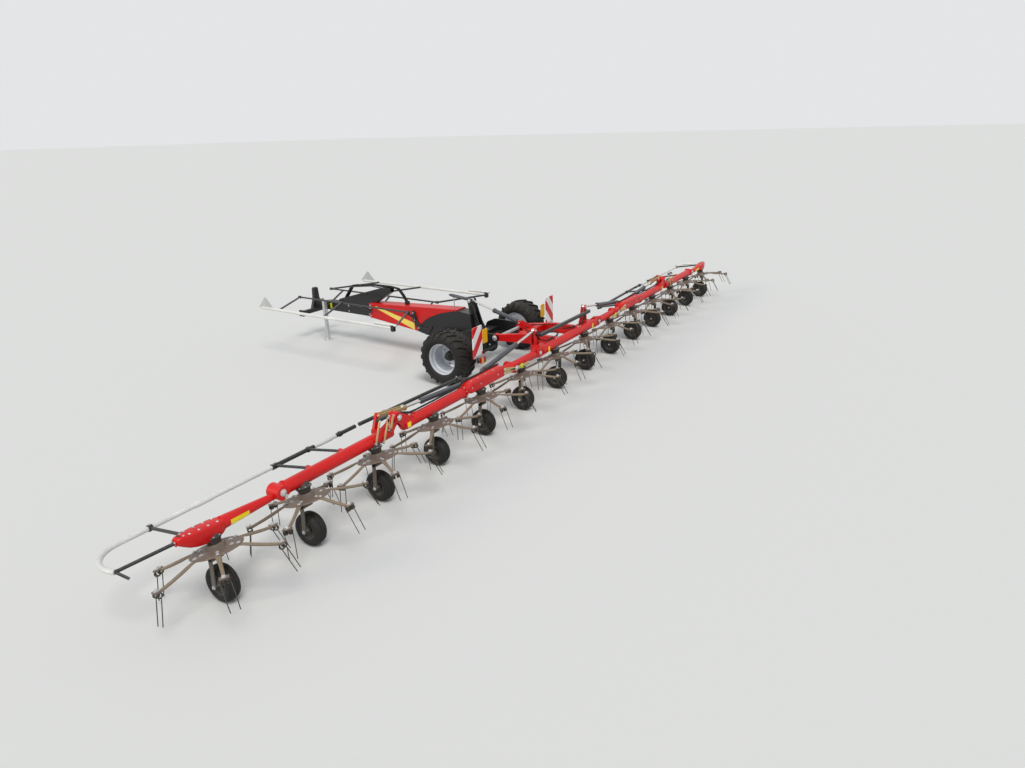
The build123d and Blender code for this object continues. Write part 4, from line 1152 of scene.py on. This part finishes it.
def wing_boom_form(bag):
    """The right-hand wing boom."""
    bag.add(*tube_x(1.27, 2.0, inner_tube_radius, beam_z), red_paint)
    tongue = arc((wing_hinge_x, wing_hinge_z), 0.085, 90, 270, 16) + [(1.28, 0.742), (1.40, 0.765), (1.40, 0.845),
        (1.28, 0.892)]
    bag.add(*prism(tongue, -0.030, 0.030, "y", 0.004), red_paint)
    bag.add(*drum((2.0, -0.100, beam_z), (2.0, 0.100, beam_z), 0.084, 0.005, 48), red_paint)
    bag.add(*tube_x(2.0, 2.27, tube_radius - 0.004, beam_z), red_paint)
    for arm_end in ((1.61, 0.785), (2.34, 0.880), (2.34, 0.815)):
        bag.add(*prism(strap_xz((2.0, beam_z), arm_end, 0.022, 0.026), -0.112, -0.100, "y"), yellow_zinc)
        bag.bolt(0.024, (arm_end[0], -0.112, arm_end[1]), backwards)
    bag.add(*drum((1.61, -0.100, 0.785), (1.61, 0.0, 0.785), 0.022), red_paint)
    bag.cap(0.046, 0.026, (2.0, -0.112, beam_z), backwards)
    bag.add(*turned([(0, 0), (0.044, 0), (0.044, 0.006), (0.038, 0.009), (0, 0.010)], 32), yellow_patch,
            facing(spot(1.84, -0.1125, 0.797), backwards))
    housing = [(2.25, 0.795), (2.31, 0.765), (3.19, 0.765), (3.30, 0.799), (3.30, 0.880), (3.21, 0.930),
               (2.33, 0.930), (2.25, 0.900)]
    bag.add(*prism(eased(housing, 0.02), -0.100, 0.100, "y", 0.020), red_paint)
    bag.add(*block((2.36, -0.058, 0.928), (3.17, 0.058, 0.936), 0.003), red_paint)
    for x in (2.38, 2.58, 2.78, 2.98, 3.15):
        for y in (-0.045, 0.045):
            bag.bolt(0.012, (x, y, 0.936), upwards)
    for x in (2.32, 2.52, 2.98, 3.20):
        bag.bolt(0.013, (x, -0.1, 0.855), backwards)
    bag.add(*tube_x(3.28, 4.66, tube_radius, beam_z), red_paint)
    bag.add(*turned([(0.075, 0), (0.094, 0), (0.096, 0.004), (0.096, 0.016), (0.094, 0.020), (0.075, 0.020)], 32),
            red_paint,
            facing(spot(3.300, 0, beam_z), (1, 0, 0)))
    for k in range(8):
        angle = math.pi / 4 * (k + 0.5)
        bag.bolt(0.011, (3.320, 0.0865 * math.cos(angle), beam_z + 0.0865 * math.sin(angle)), (1, 0, 0))
    ear = [(4.48, 0.750), (4.64, 0.744), (4.78, 0.900)] + arc((fold_hinge_x, fold_hinge_z), 0.070, -60, 110,
        14) + [(4.60, 0.930), (4.48, 0.890)]
    for near, far in ((0.033, 0.059), (-0.059, -0.033)):
        bag.add(*prism(ear, near, far, "y"), red_paint)
    bag.add(*drum((fold_hinge_x, -0.074, fold_hinge_z), (fold_hinge_x, 0.074, fold_hinge_z), 0.024), bright_zinc)
    bag.cap(0.040, 0.022, (fold_hinge_x, -0.074, fold_hinge_z), backwards)
    bag.cap(0.040, 0.022, (fold_hinge_x, 0.074, fold_hinge_z), forwards)
    bag.add(*slab(0.070, 0.070, 0.0015, 0.0004), yellow_label, facing(spot(4.60, -0.0745, 0.805), backwards))
    for pin_x, pin_z in ((2.56, 0.880), (3.06, 0.830)):
        bag.add(*drum((pin_x, 0.095, pin_z), (pin_x, 0.206, pin_z), 0.016), bright_zinc)
        bag.add(*drum((pin_x, 0.095, pin_z), (pin_x, 0.144, pin_z), 0.030), red_paint)
        bag.cap(0.024, 0.010, (pin_x, 0.196, pin_z), forwards)
    for x in (2.65, 4.26):
        bag.add(*block((x - 0.028, 0.0, 0.777), (x + 0.028, 0.150, 0.833), 0.004), red_paint)
    for step in (0, 1):
        line = [spot(x, y + 0.018 * step, z) for x, y, z in (
            (2.30, 0.03, 0.944), (3.25, 0.03, 0.944), (3.34, 0.03, 0.893), (4.30, 0.03, 0.893), (4.48, 0.03,
                0.905), (4.62, 0.03, 0.96))]
        bag.add(*bar(bend(line, 0.05, 6), thin_hose, 8), hose_rubber)
    for x in (3.55, 3.95, 4.35):
        bag.add(*slab(0.03, 0.056, 0.010), bright_zinc, facing(spot(x, 0.039, 0.8795), upwards))
    for x in wing_rotors:
        gearbox_form(bag, x)


pair(wing_boom_form, "wing_boom", "wing")
print("wing booms made")

# %% [markdown]
# ## Outer booms
#
# The last section starts with the fold hinge's tongue and the lug that the fold link pulls on.
# Its tube ends in a float joint, from which a neck grows thicker towards a boat-shaped housing over the last rotor.
# The housing is a loft: its half depth and its lower and upper edge change from station to station.

# %% End housing
housing_stations = [
    # x, half depth, lower edge, upper edge
    (7.400, 0.062, 0.730, 0.850), (7.440, 0.076, 0.712, 0.853), (7.490, 0.089, 0.702, 0.857), (7.660, 0.090, 0.702,
        0.870),
    (7.720, 0.088, 0.716, 0.874), (7.790, 0.073, 0.738, 0.880), (7.850, 0.058, 0.775, 0.884), (7.885, 0.050, 0.800,
        0.880),
    (7.900, 0.044, 0.812, 0.868),
]


def end_housing_form(bag):
    """The boat-shaped housing over the last rotor of a side."""
    points, faces = [], []
    for x, half, low, high in housing_stations:
        ring_here = [
            (-half + 0.022, low), (half - 0.022, low), (half - 0.006, low + 0.010), (half, low + 0.026), (half,
                high - 0.030),
            (half - 0.008, high - 0.010), (half - 0.026, high), (-half + 0.026, high), (-half + 0.008, high - 0.010),
            (-half, high - 0.030), (-half, low + 0.026), (-half + 0.006, low + 0.010),
        ]
        points += [spot(x, y, z) for y, z in ring_here]
    for i in range(len(housing_stations) - 1):
        for k in range(12):
            m = (k + 1) % 12
            faces.append((i * 12 + k, i * 12 + m, i * 12 + 12 + m, i * 12 + 12 + k))
    faces += [tuple(range(12)), tuple(range(len(points) - 12, len(points)))]
    bag.add(points, faces, red_paint)
    for x in (7.47, 7.57, 7.67, 7.77):
        top = 0.850 + (x - 7.40) * 0.076
        for y in (-0.046, 0.046):
            bag.bolt(0.014, (x, y, top - 0.0005), (-0.076, 0, 1))
    bag.add(*slab(0.026, 0.050, 0.003), black_paint, facing(spot(7.852, 0, 0.8832), upwards))
    for y in (-0.03, 0.03):
        bag.bolt(0.012, (7.822, y, 0.8815), upwards)


print("housing stations", len(housing_stations))

# %% Outer booms
def neck_label(bag, x_start, x_end):
    """A yellow patch over the neck's rear flat and the slanted flat under it."""
    points = []
    for x in (x_start, x_end):
        share = (x - 6.70) / 0.71
        radius, z = 0.038 + 0.038 * share + 0.0012, 0.774 + 0.018 * share
        flat, half_flat = radius * math.cos(math.radians(22.5)), radius * math.sin(math.radians(22.5))
        points.append(spot(x, -flat, z + half_flat * 0.8))
        points.append(spot(x, -flat, z - half_flat))
        points.append(spot(x, -flat * math.cos(math.pi / 4) + half_flat * 0.35,
                           z - flat * math.sin(math.pi / 4) - half_flat * 0.35))
    bag.add(points, [(0, 1, 4, 3), (1, 2, 5, 4)], yellow_label)


def outer_boom_form(bag):
    """The right-hand outer boom."""
    bag.add(*tube_x(4.90, 6.66, tube_radius, beam_z), red_paint)
    tongue = arc((fold_hinge_x, fold_hinge_z), 0.070, 70, 240, 14) + [(4.90, 0.744), (5.08, 0.750), (5.08, 0.885),
        (4.95, 0.93)]
    bag.add(*prism(tongue, -0.030, 0.030, "y", 0.004), red_paint)
    bag.add(*drum((6.70, -0.090, beam_z), (6.70, 0.090, beam_z), 0.082, 0.005, 48), red_paint)
    neck_rings = ((6.70, 0.038, 0.774), (6.82, 0.0445, 0.777), (7.41, 0.076, 0.792))
    bag.add(*swept([spot(x, 0, z) for x, _, z in neck_rings], lambda i: octagon(neck_rings[i][1])), red_paint)
    end_housing_form(bag)
    link_lug = eased([(4.888, 1.032), (4.888, 0.94), (4.93, 0.785), (5.05, 0.785), (4.952, 1.032)], 0.012)
    bag.add(*prism(link_lug, 0.148, 0.192, "y", 0.004), red_paint)
    bag.add(*block((4.94, 0.03, 0.785), (5.04, 0.192, 0.845), 0.004), red_paint)
    bag.add(*drum((4.92, 0.121, 1.0), (4.92, 0.219, 1.0), 0.016), bright_zinc)
    for x, z in ((5.64, beam_z), (6.15, beam_z), (7.74, 0.7935)):
        bag.add(*block((x - 0.028, 0.0, z - 0.028), (x + 0.028, 0.150, z + 0.028), 0.004), red_paint)
    bag.cap(0.040, 0.026, (6.70, -0.09, 0.815), backwards)
    bag.cap(0.040, 0.020, (6.70, 0.09, 0.815), forwards)
    bag.bolt(0.026, (6.665, -0.09, 0.757), backwards)
    neck_label(bag, 7.11, 7.34)
    # Zinc links that stand on the rear of the boom beside the fold hinge: lower and upper end
    links = (
        ((5.26, 0.79), (5.16, 1.06)), ((5.12, 0.755), (4.99, 1.07)),
        ((4.98, 0.87), (5.02, 1.055)), ((4.98, 0.87), (4.91, 1.05)),
    )
    for start, end in links:
        bag.add(*prism(strap_xz(start, end, 0.015, 0.015), -0.098, -0.089, "y", 0.002), yellow_zinc)
        for x, z in (start, end):
            bag.bolt(0.016, (x, -0.098, z), backwards)
    for x, z in ((5.26, 0.79), (5.12, 0.755), (4.98, 0.87)):
        bag.add(*drum((x, -0.09, z), (x, 0.0, z if z < 0.86 else 0.86), 0.012), bright_zinc)
    bag.add(*block((4.97, -0.088, 1.045), (5.18, -0.048, 1.082), 0.004), black_paint)
    bag.add(*turned([(0.070, 0), (0.086, 0), (0.088, 0.004), (0.088, 0.016), (0.086, 0.020), (0.070, 0.020)], 32),
            red_paint,
            facing(spot(6.60, 0, beam_z), (1, 0, 0)))
    for x in outer_rotors:
        gearbox_form(bag, x)


pair(outer_boom_form, "outer_boom", "outer")
print("outer booms made")

# %% [markdown]
# ## Guards
#
# Tubes run ahead of the rotors on round arms, black and white by turns, and end in a wide hook at each end of the boom.
# Thicker sleeves and clamps show where the lengths slide into each other.
# The hook is a plain arc, so it is a tube swept round a centre.

# %% Wing guards
guard_z, guard_radius = 0.700, 0.027


def guard_clamp(bag, x, y):
    """A black clamp round the guard tube, with its bolt on top."""
    profile = [(0.0265, -0.024), (0.035, -0.022), (0.037, -0.018), (0.037, 0.018), (0.035, 0.022), (0.0265, 0.024)]
    bag.add(*turned(profile, 28, closed=False), black_paint, facing(spot(x, y, guard_z), (1, 0, 0)))
    bag.bolt(0.016, (x, y, guard_z + 0.0365), upwards)


def guard_arm(bag, x, foot_z, tube_ahead):
    """A foot plate bolted to its lug, and the round arm from it to the guard."""
    bag.add(*block((x - 0.026, 0.1503, foot_z - 0.026), (x + 0.026, 0.1623, foot_z + 0.026)), tube_black)
    bag.add(*rod((x, 0.157, foot_z), (x, tube_ahead, guard_z), 0.018), tube_black)
    for away in (-0.018, 0.018):
        bag.bolt(0.009, (x + away, 0.1623, foot_z + away), forwards)
    guard_clamp(bag, x, tube_ahead)


def wing_guard_form(bag):
    """The right-hand wing's guard."""
    bag.add(*rod((2.53, 0.60, guard_z), (4.74, 0.70, guard_z), guard_radius, 28), tube_black)
    for x in (2.65, 4.26):
        guard_arm(bag, x, beam_z, 0.60 + 0.1 * (x - 2.53) / 2.21)


pair(wing_guard_form, "wing_guard", "wing")
print("wing guards made")

# %% Outer guards with their hooks
def outer_guard_form(bag):
    """The right-hand outer guard: its lengths by colour, the hook and the bar that holds it."""
    lengths = (
        (4.82, 5.18, tube_black), (5.18, 5.55, pale_tube),
        (5.55, 6.19, tube_black), (6.19, 8.072, pale_tube),
    )
    for start, end, finish in lengths:
        bag.add(*rod((start, 0.70, guard_z), (end, 0.70, guard_z), guard_radius, 28), finish)
    hook = [spot(x, y, guard_z) for x, y in arc((8.07, 0.39), 0.31, 90, -25, 22)]
    bag.add(*bar(hook, guard_radius, 28), pale_tube)
    end_x, end_ahead = 8.351, 0.259
    bag.add(*rod((7.906, 0, 0.833), (end_x, end_ahead, guard_z), 0.018), tube_black)
    # Painted shadow: a short black rod hangs below the hook's end, where the dark mark is a shadow.
    bag.add(*rod((end_x, end_ahead, guard_z), (8.300, 0.140, 0.640), 0.014), tube_black)
    bag.add(*block((7.9003, -0.034, 0.805), (7.9123, 0.034, 0.861)), red_paint)
    for y in (-0.022, 0.022):
        bag.bolt(0.012, (7.9123, y, 0.849), (1, 0, 0))
    for x, z in ((5.64, beam_z), (6.15, beam_z), (7.74, 0.7935)):
        guard_arm(bag, x, z, 0.70)
    sleeve = [(0.0265, -0.11), (0.031, -0.108), (0.032, -0.10), (0.032, 0.10), (0.031, 0.108), (0.0265, 0.11)]
    for x in (7.12, 5.36):
        bag.add(*turned(sleeve, 28, closed=False), pale_tube, facing(spot(x, 0.70, guard_z), (1, 0, 0)))
    guard_clamp(bag, 6.19, 0.70)
    guard_clamp(bag, 5.10, 0.70)


pair(outer_guard_form, "outer_guard", "outer")
print("outer guards made")

# %% [markdown]
# ## Axle frame and mast
#
# A square axle tube crosses behind the drawbar, with stub axles at its ends.
# Thick cheeks carry the lift hinge, two upright plates make the mast, and the black centre frame is cut out in front,
# so that the red beam nests on it.

# %% Axle frame
axle_bag = Pieces()
axle_bag.add(*block((-0.975, 1.75, 0.445), (0.975, 1.87, 0.565), 0.008), black_paint)
axle_bag.add(*block((-0.46, 1.87, 0.445), (0.46, 2.07, 0.645), 0.008), black_paint)
axle_bag.add(*drum((-0.499, lift_ahead, lift_z), (0.499, lift_ahead, lift_z), 0.030), bright_zinc)
for sign in (-1, 1):
    half = Pieces(sign)
    half.add(*drum((0.965, axle_ahead, axle_z), (1.31, axle_ahead, axle_z), 0.045, 0.004), black_paint)
    cheek = eased([(2.19, 0.525), (2.13, 0.715), (1.93, 0.805), (1.36, 0.795), (1.25, 0.770), (1.25, 0.535),
                   (1.36, 0.445), (2.07, 0.445)], 0.03)
    half.add(*prism(cheek, 0.463, 0.489, "x", 0.004), black_paint)
    rail = eased([(1.99, 0.445), (2.55, 0.465), (2.85, 0.565), (2.85, 0.615), (2.07, 0.655), (1.99, 0.645)], 0.02)
    half.add(*prism(rail, 0.318, 0.342, "x", 0.004), black_paint)
    half.add(*block((0.14, 2.69, 0.565), (0.33, 2.75, 0.610)), black_paint)
    mast = eased([(1.87, 0.605), (2.07, 0.605), (2.13, 0.885), (2.20, 1.240), (2.19, 1.300), (2.095, 1.300),
                  (2.08, 1.200)], 0.02)
    half.add(*prism(mast, 0.051, 0.079, "x", 0.004), black_paint)
    half.add(*drum((0.045, 2.14, 1.26), (0.095, 2.14, 1.26), 0.028), bright_zinc)
    half.cap(0.034, 0.020, (0.095, 2.14, 1.26), (1, 0, 0))
    half.cap(0.050, 0.026, (0.489, lift_ahead, lift_z), (1, 0, 0))
    for ahead_by, height in ((1.42, 0.58), (1.62, 0.52), (1.95, 0.52), (2.08, 0.60), (1.75, 0.74)):
        half.bolt(0.020, (0.489, ahead_by, height), (1, 0, 0))
    hook_plate = [(3.56, 0.93), (3.49, 0.93), (3.43, 0.72), (3.30, 0.59), (3.16, 0.59), (3.09, 0.66), (3.04, 0.62),
                  (3.15, 0.48),
                  (3.33, 0.48), (3.49, 0.62), (3.56, 0.78)]
    half.add(*prism(eased(hook_plate, 0.02), 0.1505, 0.176, "x", 0.003), black_paint)
    for ahead_by, height in ((3.53, 0.88), (3.50, 0.74), (3.40, 0.58)):
        half.bolt(0.018, (0.176, ahead_by, height), (1, 0, 0))
    pipe = [spot(0.10, 2.13, 1.16), spot(0.10, 2.02, 0.90), spot(0.14, 1.95, 0.72), spot(0.30, 1.90, 0.665)]
    half.add(*bar(bend(pipe, 0.05, 6), thin_hose, 8), hose_rubber)
    axle_bag.join(half)
centre_frame = [(2.41, 1.0447), (2.09, 1.010), (2.03, 0.445), (3.20, 0.445), (3.4497, 0.4997)]
centre_frame += [(3.40, 0.60), (3.33, 0.68), (3.2247, 0.7647), (3.10, 0.83), (2.96, 0.895), (2.8097, 0.9497)]
axle_bag.add(*prism(centre_frame, -0.152, 0.152, "x", 0.004), black_paint)
tank_line = [spot(0, 2.17, 1.262), spot(0, 2.23, 1.268), spot(0, 2.62, 1.308), spot(0, 2.69, 1.315)]
tank_radii = (0.020, 0.032, 0.032, 0.018)
axle_bag.add(*swept(tank_line, lambda i: ring(tank_radii[i], 20)), cylinder_grey)
axle_bag.add(*rod((0, 2.58, 1.05), (0, 2.58, 1.30), 0.010), bright_zinc)
axle_bag.add(*block((-0.10, 1.925, 0.645), (0.10, 2.015, 0.715), 0.004), cylinder_grey)
for k in range(4):
    axle_bag.bolt(0.022, (-0.066 + 0.044 * k, 1.97, 0.715), upwards, 0.02)
made = axle_bag.make("dressed_axle_frame", "chassis")
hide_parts("axle_frame")
print("axle frame", len(axle_bag.faces), "faces")

# %% [markdown]
# ## Drawbar beam and neck
#
# The red beam is deep at its front and thins to a tip on the mast, and its underside sweeps up in an arc.
# The slim black neck in front carries the swivel eye and the jack's sleeve.

# %% Drawbar beam
beam_side = [(2.41, 1.045), (2.41, 1.065), (4.77, 0.950), (4.77, 0.640), (3.45, 0.500)]
beam_side += [(3.40, 0.602), (3.33, 0.681), (3.225, 0.765), (3.10, 0.832), (2.96, 0.896), (2.81, 0.950)]
beam_bag = Pieces()
beam_bag.add(*prism(beam_side, -0.150, 0.150, "x", 0.006), beam_red)
for sign in (-1, 1):
    for height in (0.68, 0.76, 0.84, 0.91):
        beam_bag.bolt(0.018, (sign * 0.150, 4.735, height), (sign, 0, 0))
    for height in (0.66, 0.90):
        beam_bag.bolt(0.020, (sign * 0.12, 4.77, height), forwards)
made = beam_bag.make("dressed_main_beam", "chassis")
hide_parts("main_beam")
print("beam length", round(4.77 - 2.41, 2), "m")

# %% Drawbar neck with the jack's sleeve
neck_bag = Pieces()
neck_side = eased([(4.7703, 0.640), (5.98, 0.650), (6.32, 0.680), (6.32, 0.820), (6.08, 0.860), (4.7703, 0.860)],
                  0.015)
neck_bag.add(*prism(neck_side, -0.085, 0.085, "x", 0.006), black_paint)
neck_bag.add(*block((-0.060, 6.29, 0.680), (0.060, 6.38, 0.820)), black_paint)
neck_bag.add(*drum((0, 6.38, 0.680), (0, 6.38, 0.820), 0.060), black_paint)
for x in (-0.2683, -0.1997):
    neck_bag.add(*block((x, 6.0117, 0.480), (x + 0.008, 6.0883, 0.900), 0.002), bright_zinc)
for y in (6.0117, 6.0803):
    neck_bag.add(*block((-0.2683, y, 0.480), (-0.1917, y + 0.008, 0.900), 0.002), bright_zinc)
neck_bag.add(*block((-0.2683, 6.0117, 0.888), (-0.1917, 6.0883, 0.902), 0.003), bright_zinc)
neck_bag.add(*block((-0.195, 6.01, 0.690), (-0.08, 6.09, 0.790)), black_paint)
handle = [spot(-0.23, 6.05, 0.900), spot(-0.23, 6.05, 0.950), spot(-0.30, 6.05, 0.958), spot(-0.312, 6.05, 0.90)]
neck_bag.add(*bar(bend(handle, 0.015, 5), 0.008, 10), bright_zinc)
neck_bag.add(*prism(eased([(5.96, 0.70), (6.00, 0.70), (6.00, 0.82), (5.96, 0.82)], 0.008), -0.118, -0.085, "x"),
             yellow_patch)
for ahead_by in (4.83, 5.45, 6.12):
    for height in (0.69, 0.81):
        neck_bag.bolt(0.018, (0.085, ahead_by, height), (1, 0, 0))
        neck_bag.bolt(0.018, (-0.085, ahead_by, height), (-1, 0, 0))
made = neck_bag.make("dressed_drawbar_neck", "chassis")
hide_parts("drawbar_neck")
print("neck and jack sleeve made")

# %% [markdown]
# ## Hose rest
#
# A tray rises to the rear over the drawbar, and a tube arch stands over it.
# Three hoses lie clamped on the arch and drop behind it to a clamp on the beam, so they are bars with easy bends here.

# %% Tray, arch and hoses
rest_bag = Pieces()
tray_side = [(5.75, 0.8605), (5.75, 0.930), (4.40, 1.310), (4.20, 1.310), (4.20, 1.220), (4.64, 0.962),
             (4.771, 0.952), (4.771, 0.8605)]
for x in (-0.060, 0.052):
    rest_bag.add(*prism(tray_side, x, x + 0.008, "x", 0.002), black_paint)
rest_bag.add(*block((-0.056, 4.775, 0.8605), (0.056, 5.748, 0.868)), black_paint)
rest_bag.add(*prism([(4.64, 0.960), (4.64, 0.970), (4.20, 1.230), (4.20, 1.220)], -0.056, 0.056, "x", 0.001),
             black_paint)
arch = [(5.61, 0.920), (5.36, 1.240), (4.75, 1.312), (4.35, 1.290)]
for x in (-0.050, 0.050):
    rest_bag.add(*bar(bend([spot(x, y, z) for y, z in arch], 0.10, 8), 0.013, 14), tube_black)
for y, z in ((5.40, 1.205), (5.05, 1.277), (4.76, 1.308), (4.42, 1.295)):
    rest_bag.add(*rod((-0.050, y, z), (0.050, y, z), 0.011, 14), tube_black)
hose_line = [(5.72, 0.885), (5.58, 0.955), (5.36, 1.266), (4.75, 1.336), (4.25, 1.338), (4.02, 1.31), (3.90, 1.18),
             (3.81, 1.045)]
for x in (-0.026, 0.0, 0.026):
    rest_bag.add(*bar(bend([spot(x * (1 + 0.2 * (y < 4.4)), y, z) for y, z in hose_line], 0.11, 8), 0.011, 12),
                 hose_rubber)
    rest_bag.add(*drum((x, 5.70, 0.880), (x, 5.748, 0.875), 0.014), bright_zinc)
for y, z in ((5.22, 1.272), (4.88, 1.312)):
    rest_bag.add(*block((-0.044, y - 0.014, z - 0.016), (0.044, y + 0.014, z + 0.026)), black_paint)
rest_bag.add(*block((-0.050, 3.78, 1.002), (0.050, 3.84, 1.066)), black_paint)
made = rest_bag.make("dressed_hose_rest", "chassis")
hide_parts("hose_rest")
print("hose rest made")

# %% [markdown]
# ## Headstock
#
# The headstock turns on the swivel pin, and the two pins at its sides take the lower links.
# Its upright plate narrows to the top over a square cross bar with a pin at each end.

# %% Headstock
head_bag = Pieces()
for z in (0.647, 0.823):
    head_bag.add(*prism(eased([(-0.06, 6.375), (0.06, 6.375), (0.06, 6.56), (-0.06, 6.56)], 0.01), z, z + 0.030,
                        "z"), black_paint)
    head_bag.add(*drum((0, 6.38, z), (0, 6.38, z + 0.030), 0.060), black_paint)
head_bag.add(*drum((0, 6.38, 0.640), (0, 6.38, 0.870), 0.0295), bright_zinc)
upright_plate = [(-0.20, 0.555), (0.20, 0.555), (0.08, 0.85), (0.06, 1.11), (-0.06, 1.11), (-0.08, 0.85)]
head_bag.add(*prism(eased(upright_plate, 0.02), 6.52, 6.60, "y", 0.006), black_paint)
head_bag.add(*block((-0.452, 6.515, 0.555), (0.452, 6.605, 0.645), 0.006), black_paint)
for sign in (-1, 1):
    inner, outer = sorted((sign * 0.482, sign * 0.442))
    head_bag.add(*block((inner, 6.49, 0.53), (outer, 6.63, 0.67), 0.005), black_paint)
    head_bag.add(*drum((sign * 0.462, 6.56, 0.60), (sign * 0.602, 6.56, 0.60), 0.0183, 0.003), bright_zinc)
head_bag.add(*drum((0, 6.59, 0.76), (0, 6.69, 0.76), 0.0174), bright_zinc)
head_bag.add(*drum((0, 6.59, 0.76), (0, 6.612, 0.76), 0.052), black_paint)
for x, z in ((-0.04, 1.06), (0.04, 1.06), (-0.055, 0.90), (0.055, 0.90)):
    head_bag.bolt(0.018, (x, 6.60, z), forwards)
made = head_bag.make("dressed_headstock", "headstock")
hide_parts("headstock")
print("headstock made")

# %% [markdown]
# ## Side guards
#
# Long white tubes stand out beside the drawbar on three slanting arms, which swing on a rod along the beam.
# A short tube lies over the rear end, and a three-cornered plate stands on the front end.

# %% Side guards
def side_guard_form(bag):
    """The right-hand side guard."""
    bag.add(*rod((1.55, 2.88, 0.98), (1.55, 6.50, 0.98), 0.030, 28), pale_tube)
    bag.add(*rod((1.55, 2.77, 1.04), (1.55, 3.31, 1.04), 0.024, 24), pale_tube)
    bag.add(*block((1.514, 2.82, 0.92), (1.586, 2.89, 1.04), 0.004), tube_black)
    for ahead_by, half_width in ((3.51, 0.176), (4.73, 0.150), (6.15, 0.085)):
        bag.add(*block((half_width + 0.0003, ahead_by - 0.040, 0.74),
                       (half_width + 0.0123, ahead_by + 0.040, 0.84)), side_grey)
        bag.add(*rod((half_width + 0.010, ahead_by, 0.80), (0.48, ahead_by, 0.98), 0.020), side_grey)
    bag.add(*rod((0.48, 3.36, 0.98), (0.48, 6.58, 0.98), 0.018), side_grey)
    for ahead_by in (3.40, 5.25, 6.54):
        bag.add(*rod((0.48, ahead_by, 0.98), (1.55, ahead_by - 0.56, 0.98), 0.020), side_grey)
        bag.add(*drum((0.48, ahead_by - 0.03, 0.98), (0.48, ahead_by + 0.03, 0.98), 0.030), side_grey)
        bag.bolt(0.018, (1.50, ahead_by - 0.534, 1.0), upwards)
    corner = eased([(6.12, 0.98), (6.60, 0.98), (6.36, 1.23)], 0.02)
    bag.add(*prism(corner, 1.545, 1.555, "x", 0.001), plate_grey)
    for ahead_by in (2.88, 6.50):
        way = -1 if ahead_by < 4 else 1
        bag.add(*drum((1.55, ahead_by, 0.98), (1.55, ahead_by + way * 0.006, 0.98), 0.0305), black_paint)


pair(side_guard_form, "side_guard", "chassis")
print("side guards made")

# %% [markdown]
# ## Boards and lamps
#
# The boards and lamps keep their solids. Bolts hold them, a lens plate sits on each lamp,
# and a yellow panel stands inside of each board.

# %% Board and lamp fittings
board_low, board_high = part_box("warning_board_right")
board_ahead = board_low.y - boom_y


def board_fittings(bag):
    """Bolts, panel and lens plates of the right-hand board and lamp."""
    for x in (board_low.x + 0.02, board_high.x - 0.02):
        for z in (board_low.z + 0.02, board_high.z - 0.02):
            bag.bolt(0.012, (x, board_ahead - 0.0003, z), backwards)
    bag.add(*slab(0.15, 0.26, 0.012, 0.003), amber_patch, facing(spot(1.045, board_ahead + 0.026, 0.93), backwards))
    stay = [spot(1.045, board_ahead + 0.026, 0.86), spot(1.045, board_ahead + 0.034, 0.60),
            spot(1.045, board_ahead + 0.14, 0.585)]
    bag.add(*bar(bend(stay, 0.03, 5), 0.009, 10), black_paint)
    bag.add(*slab(0.26, 0.04, 0.006), bright_zinc, facing(spot(1.30, board_ahead - 0.0003, 0.62), backwards))
    lamp_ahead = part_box("tail_lamp_right")[0].y - boom_y - 0.0003
    for away, finish in ((-0.033, lamp_lens), (0.033, amber_patch)):
        bag.add(*slab(0.060, 0.084, 0.005, 0.002), finish, facing(spot(1.18 + away, lamp_ahead, 0.52), backwards))


for side, sign in sides:
    bag = Pieces(sign)
    board_fittings(bag)
    bag.make(f"board_fittings_{side}", "chassis")
print("boards dressed")

# %% [markdown]
# ## Before the end: the sizes
#
# The box round the dressed machine, floor left out, is printed at the end. The dressed machine has to stay
# inside the box of the solids, with 3 percent and 10 mm allowed on each side.

# %% Sizes and finish
bpy.context.view_layer.update()
low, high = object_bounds()
print("dressed box", [round(v, 3) for v in (*low, *high)])
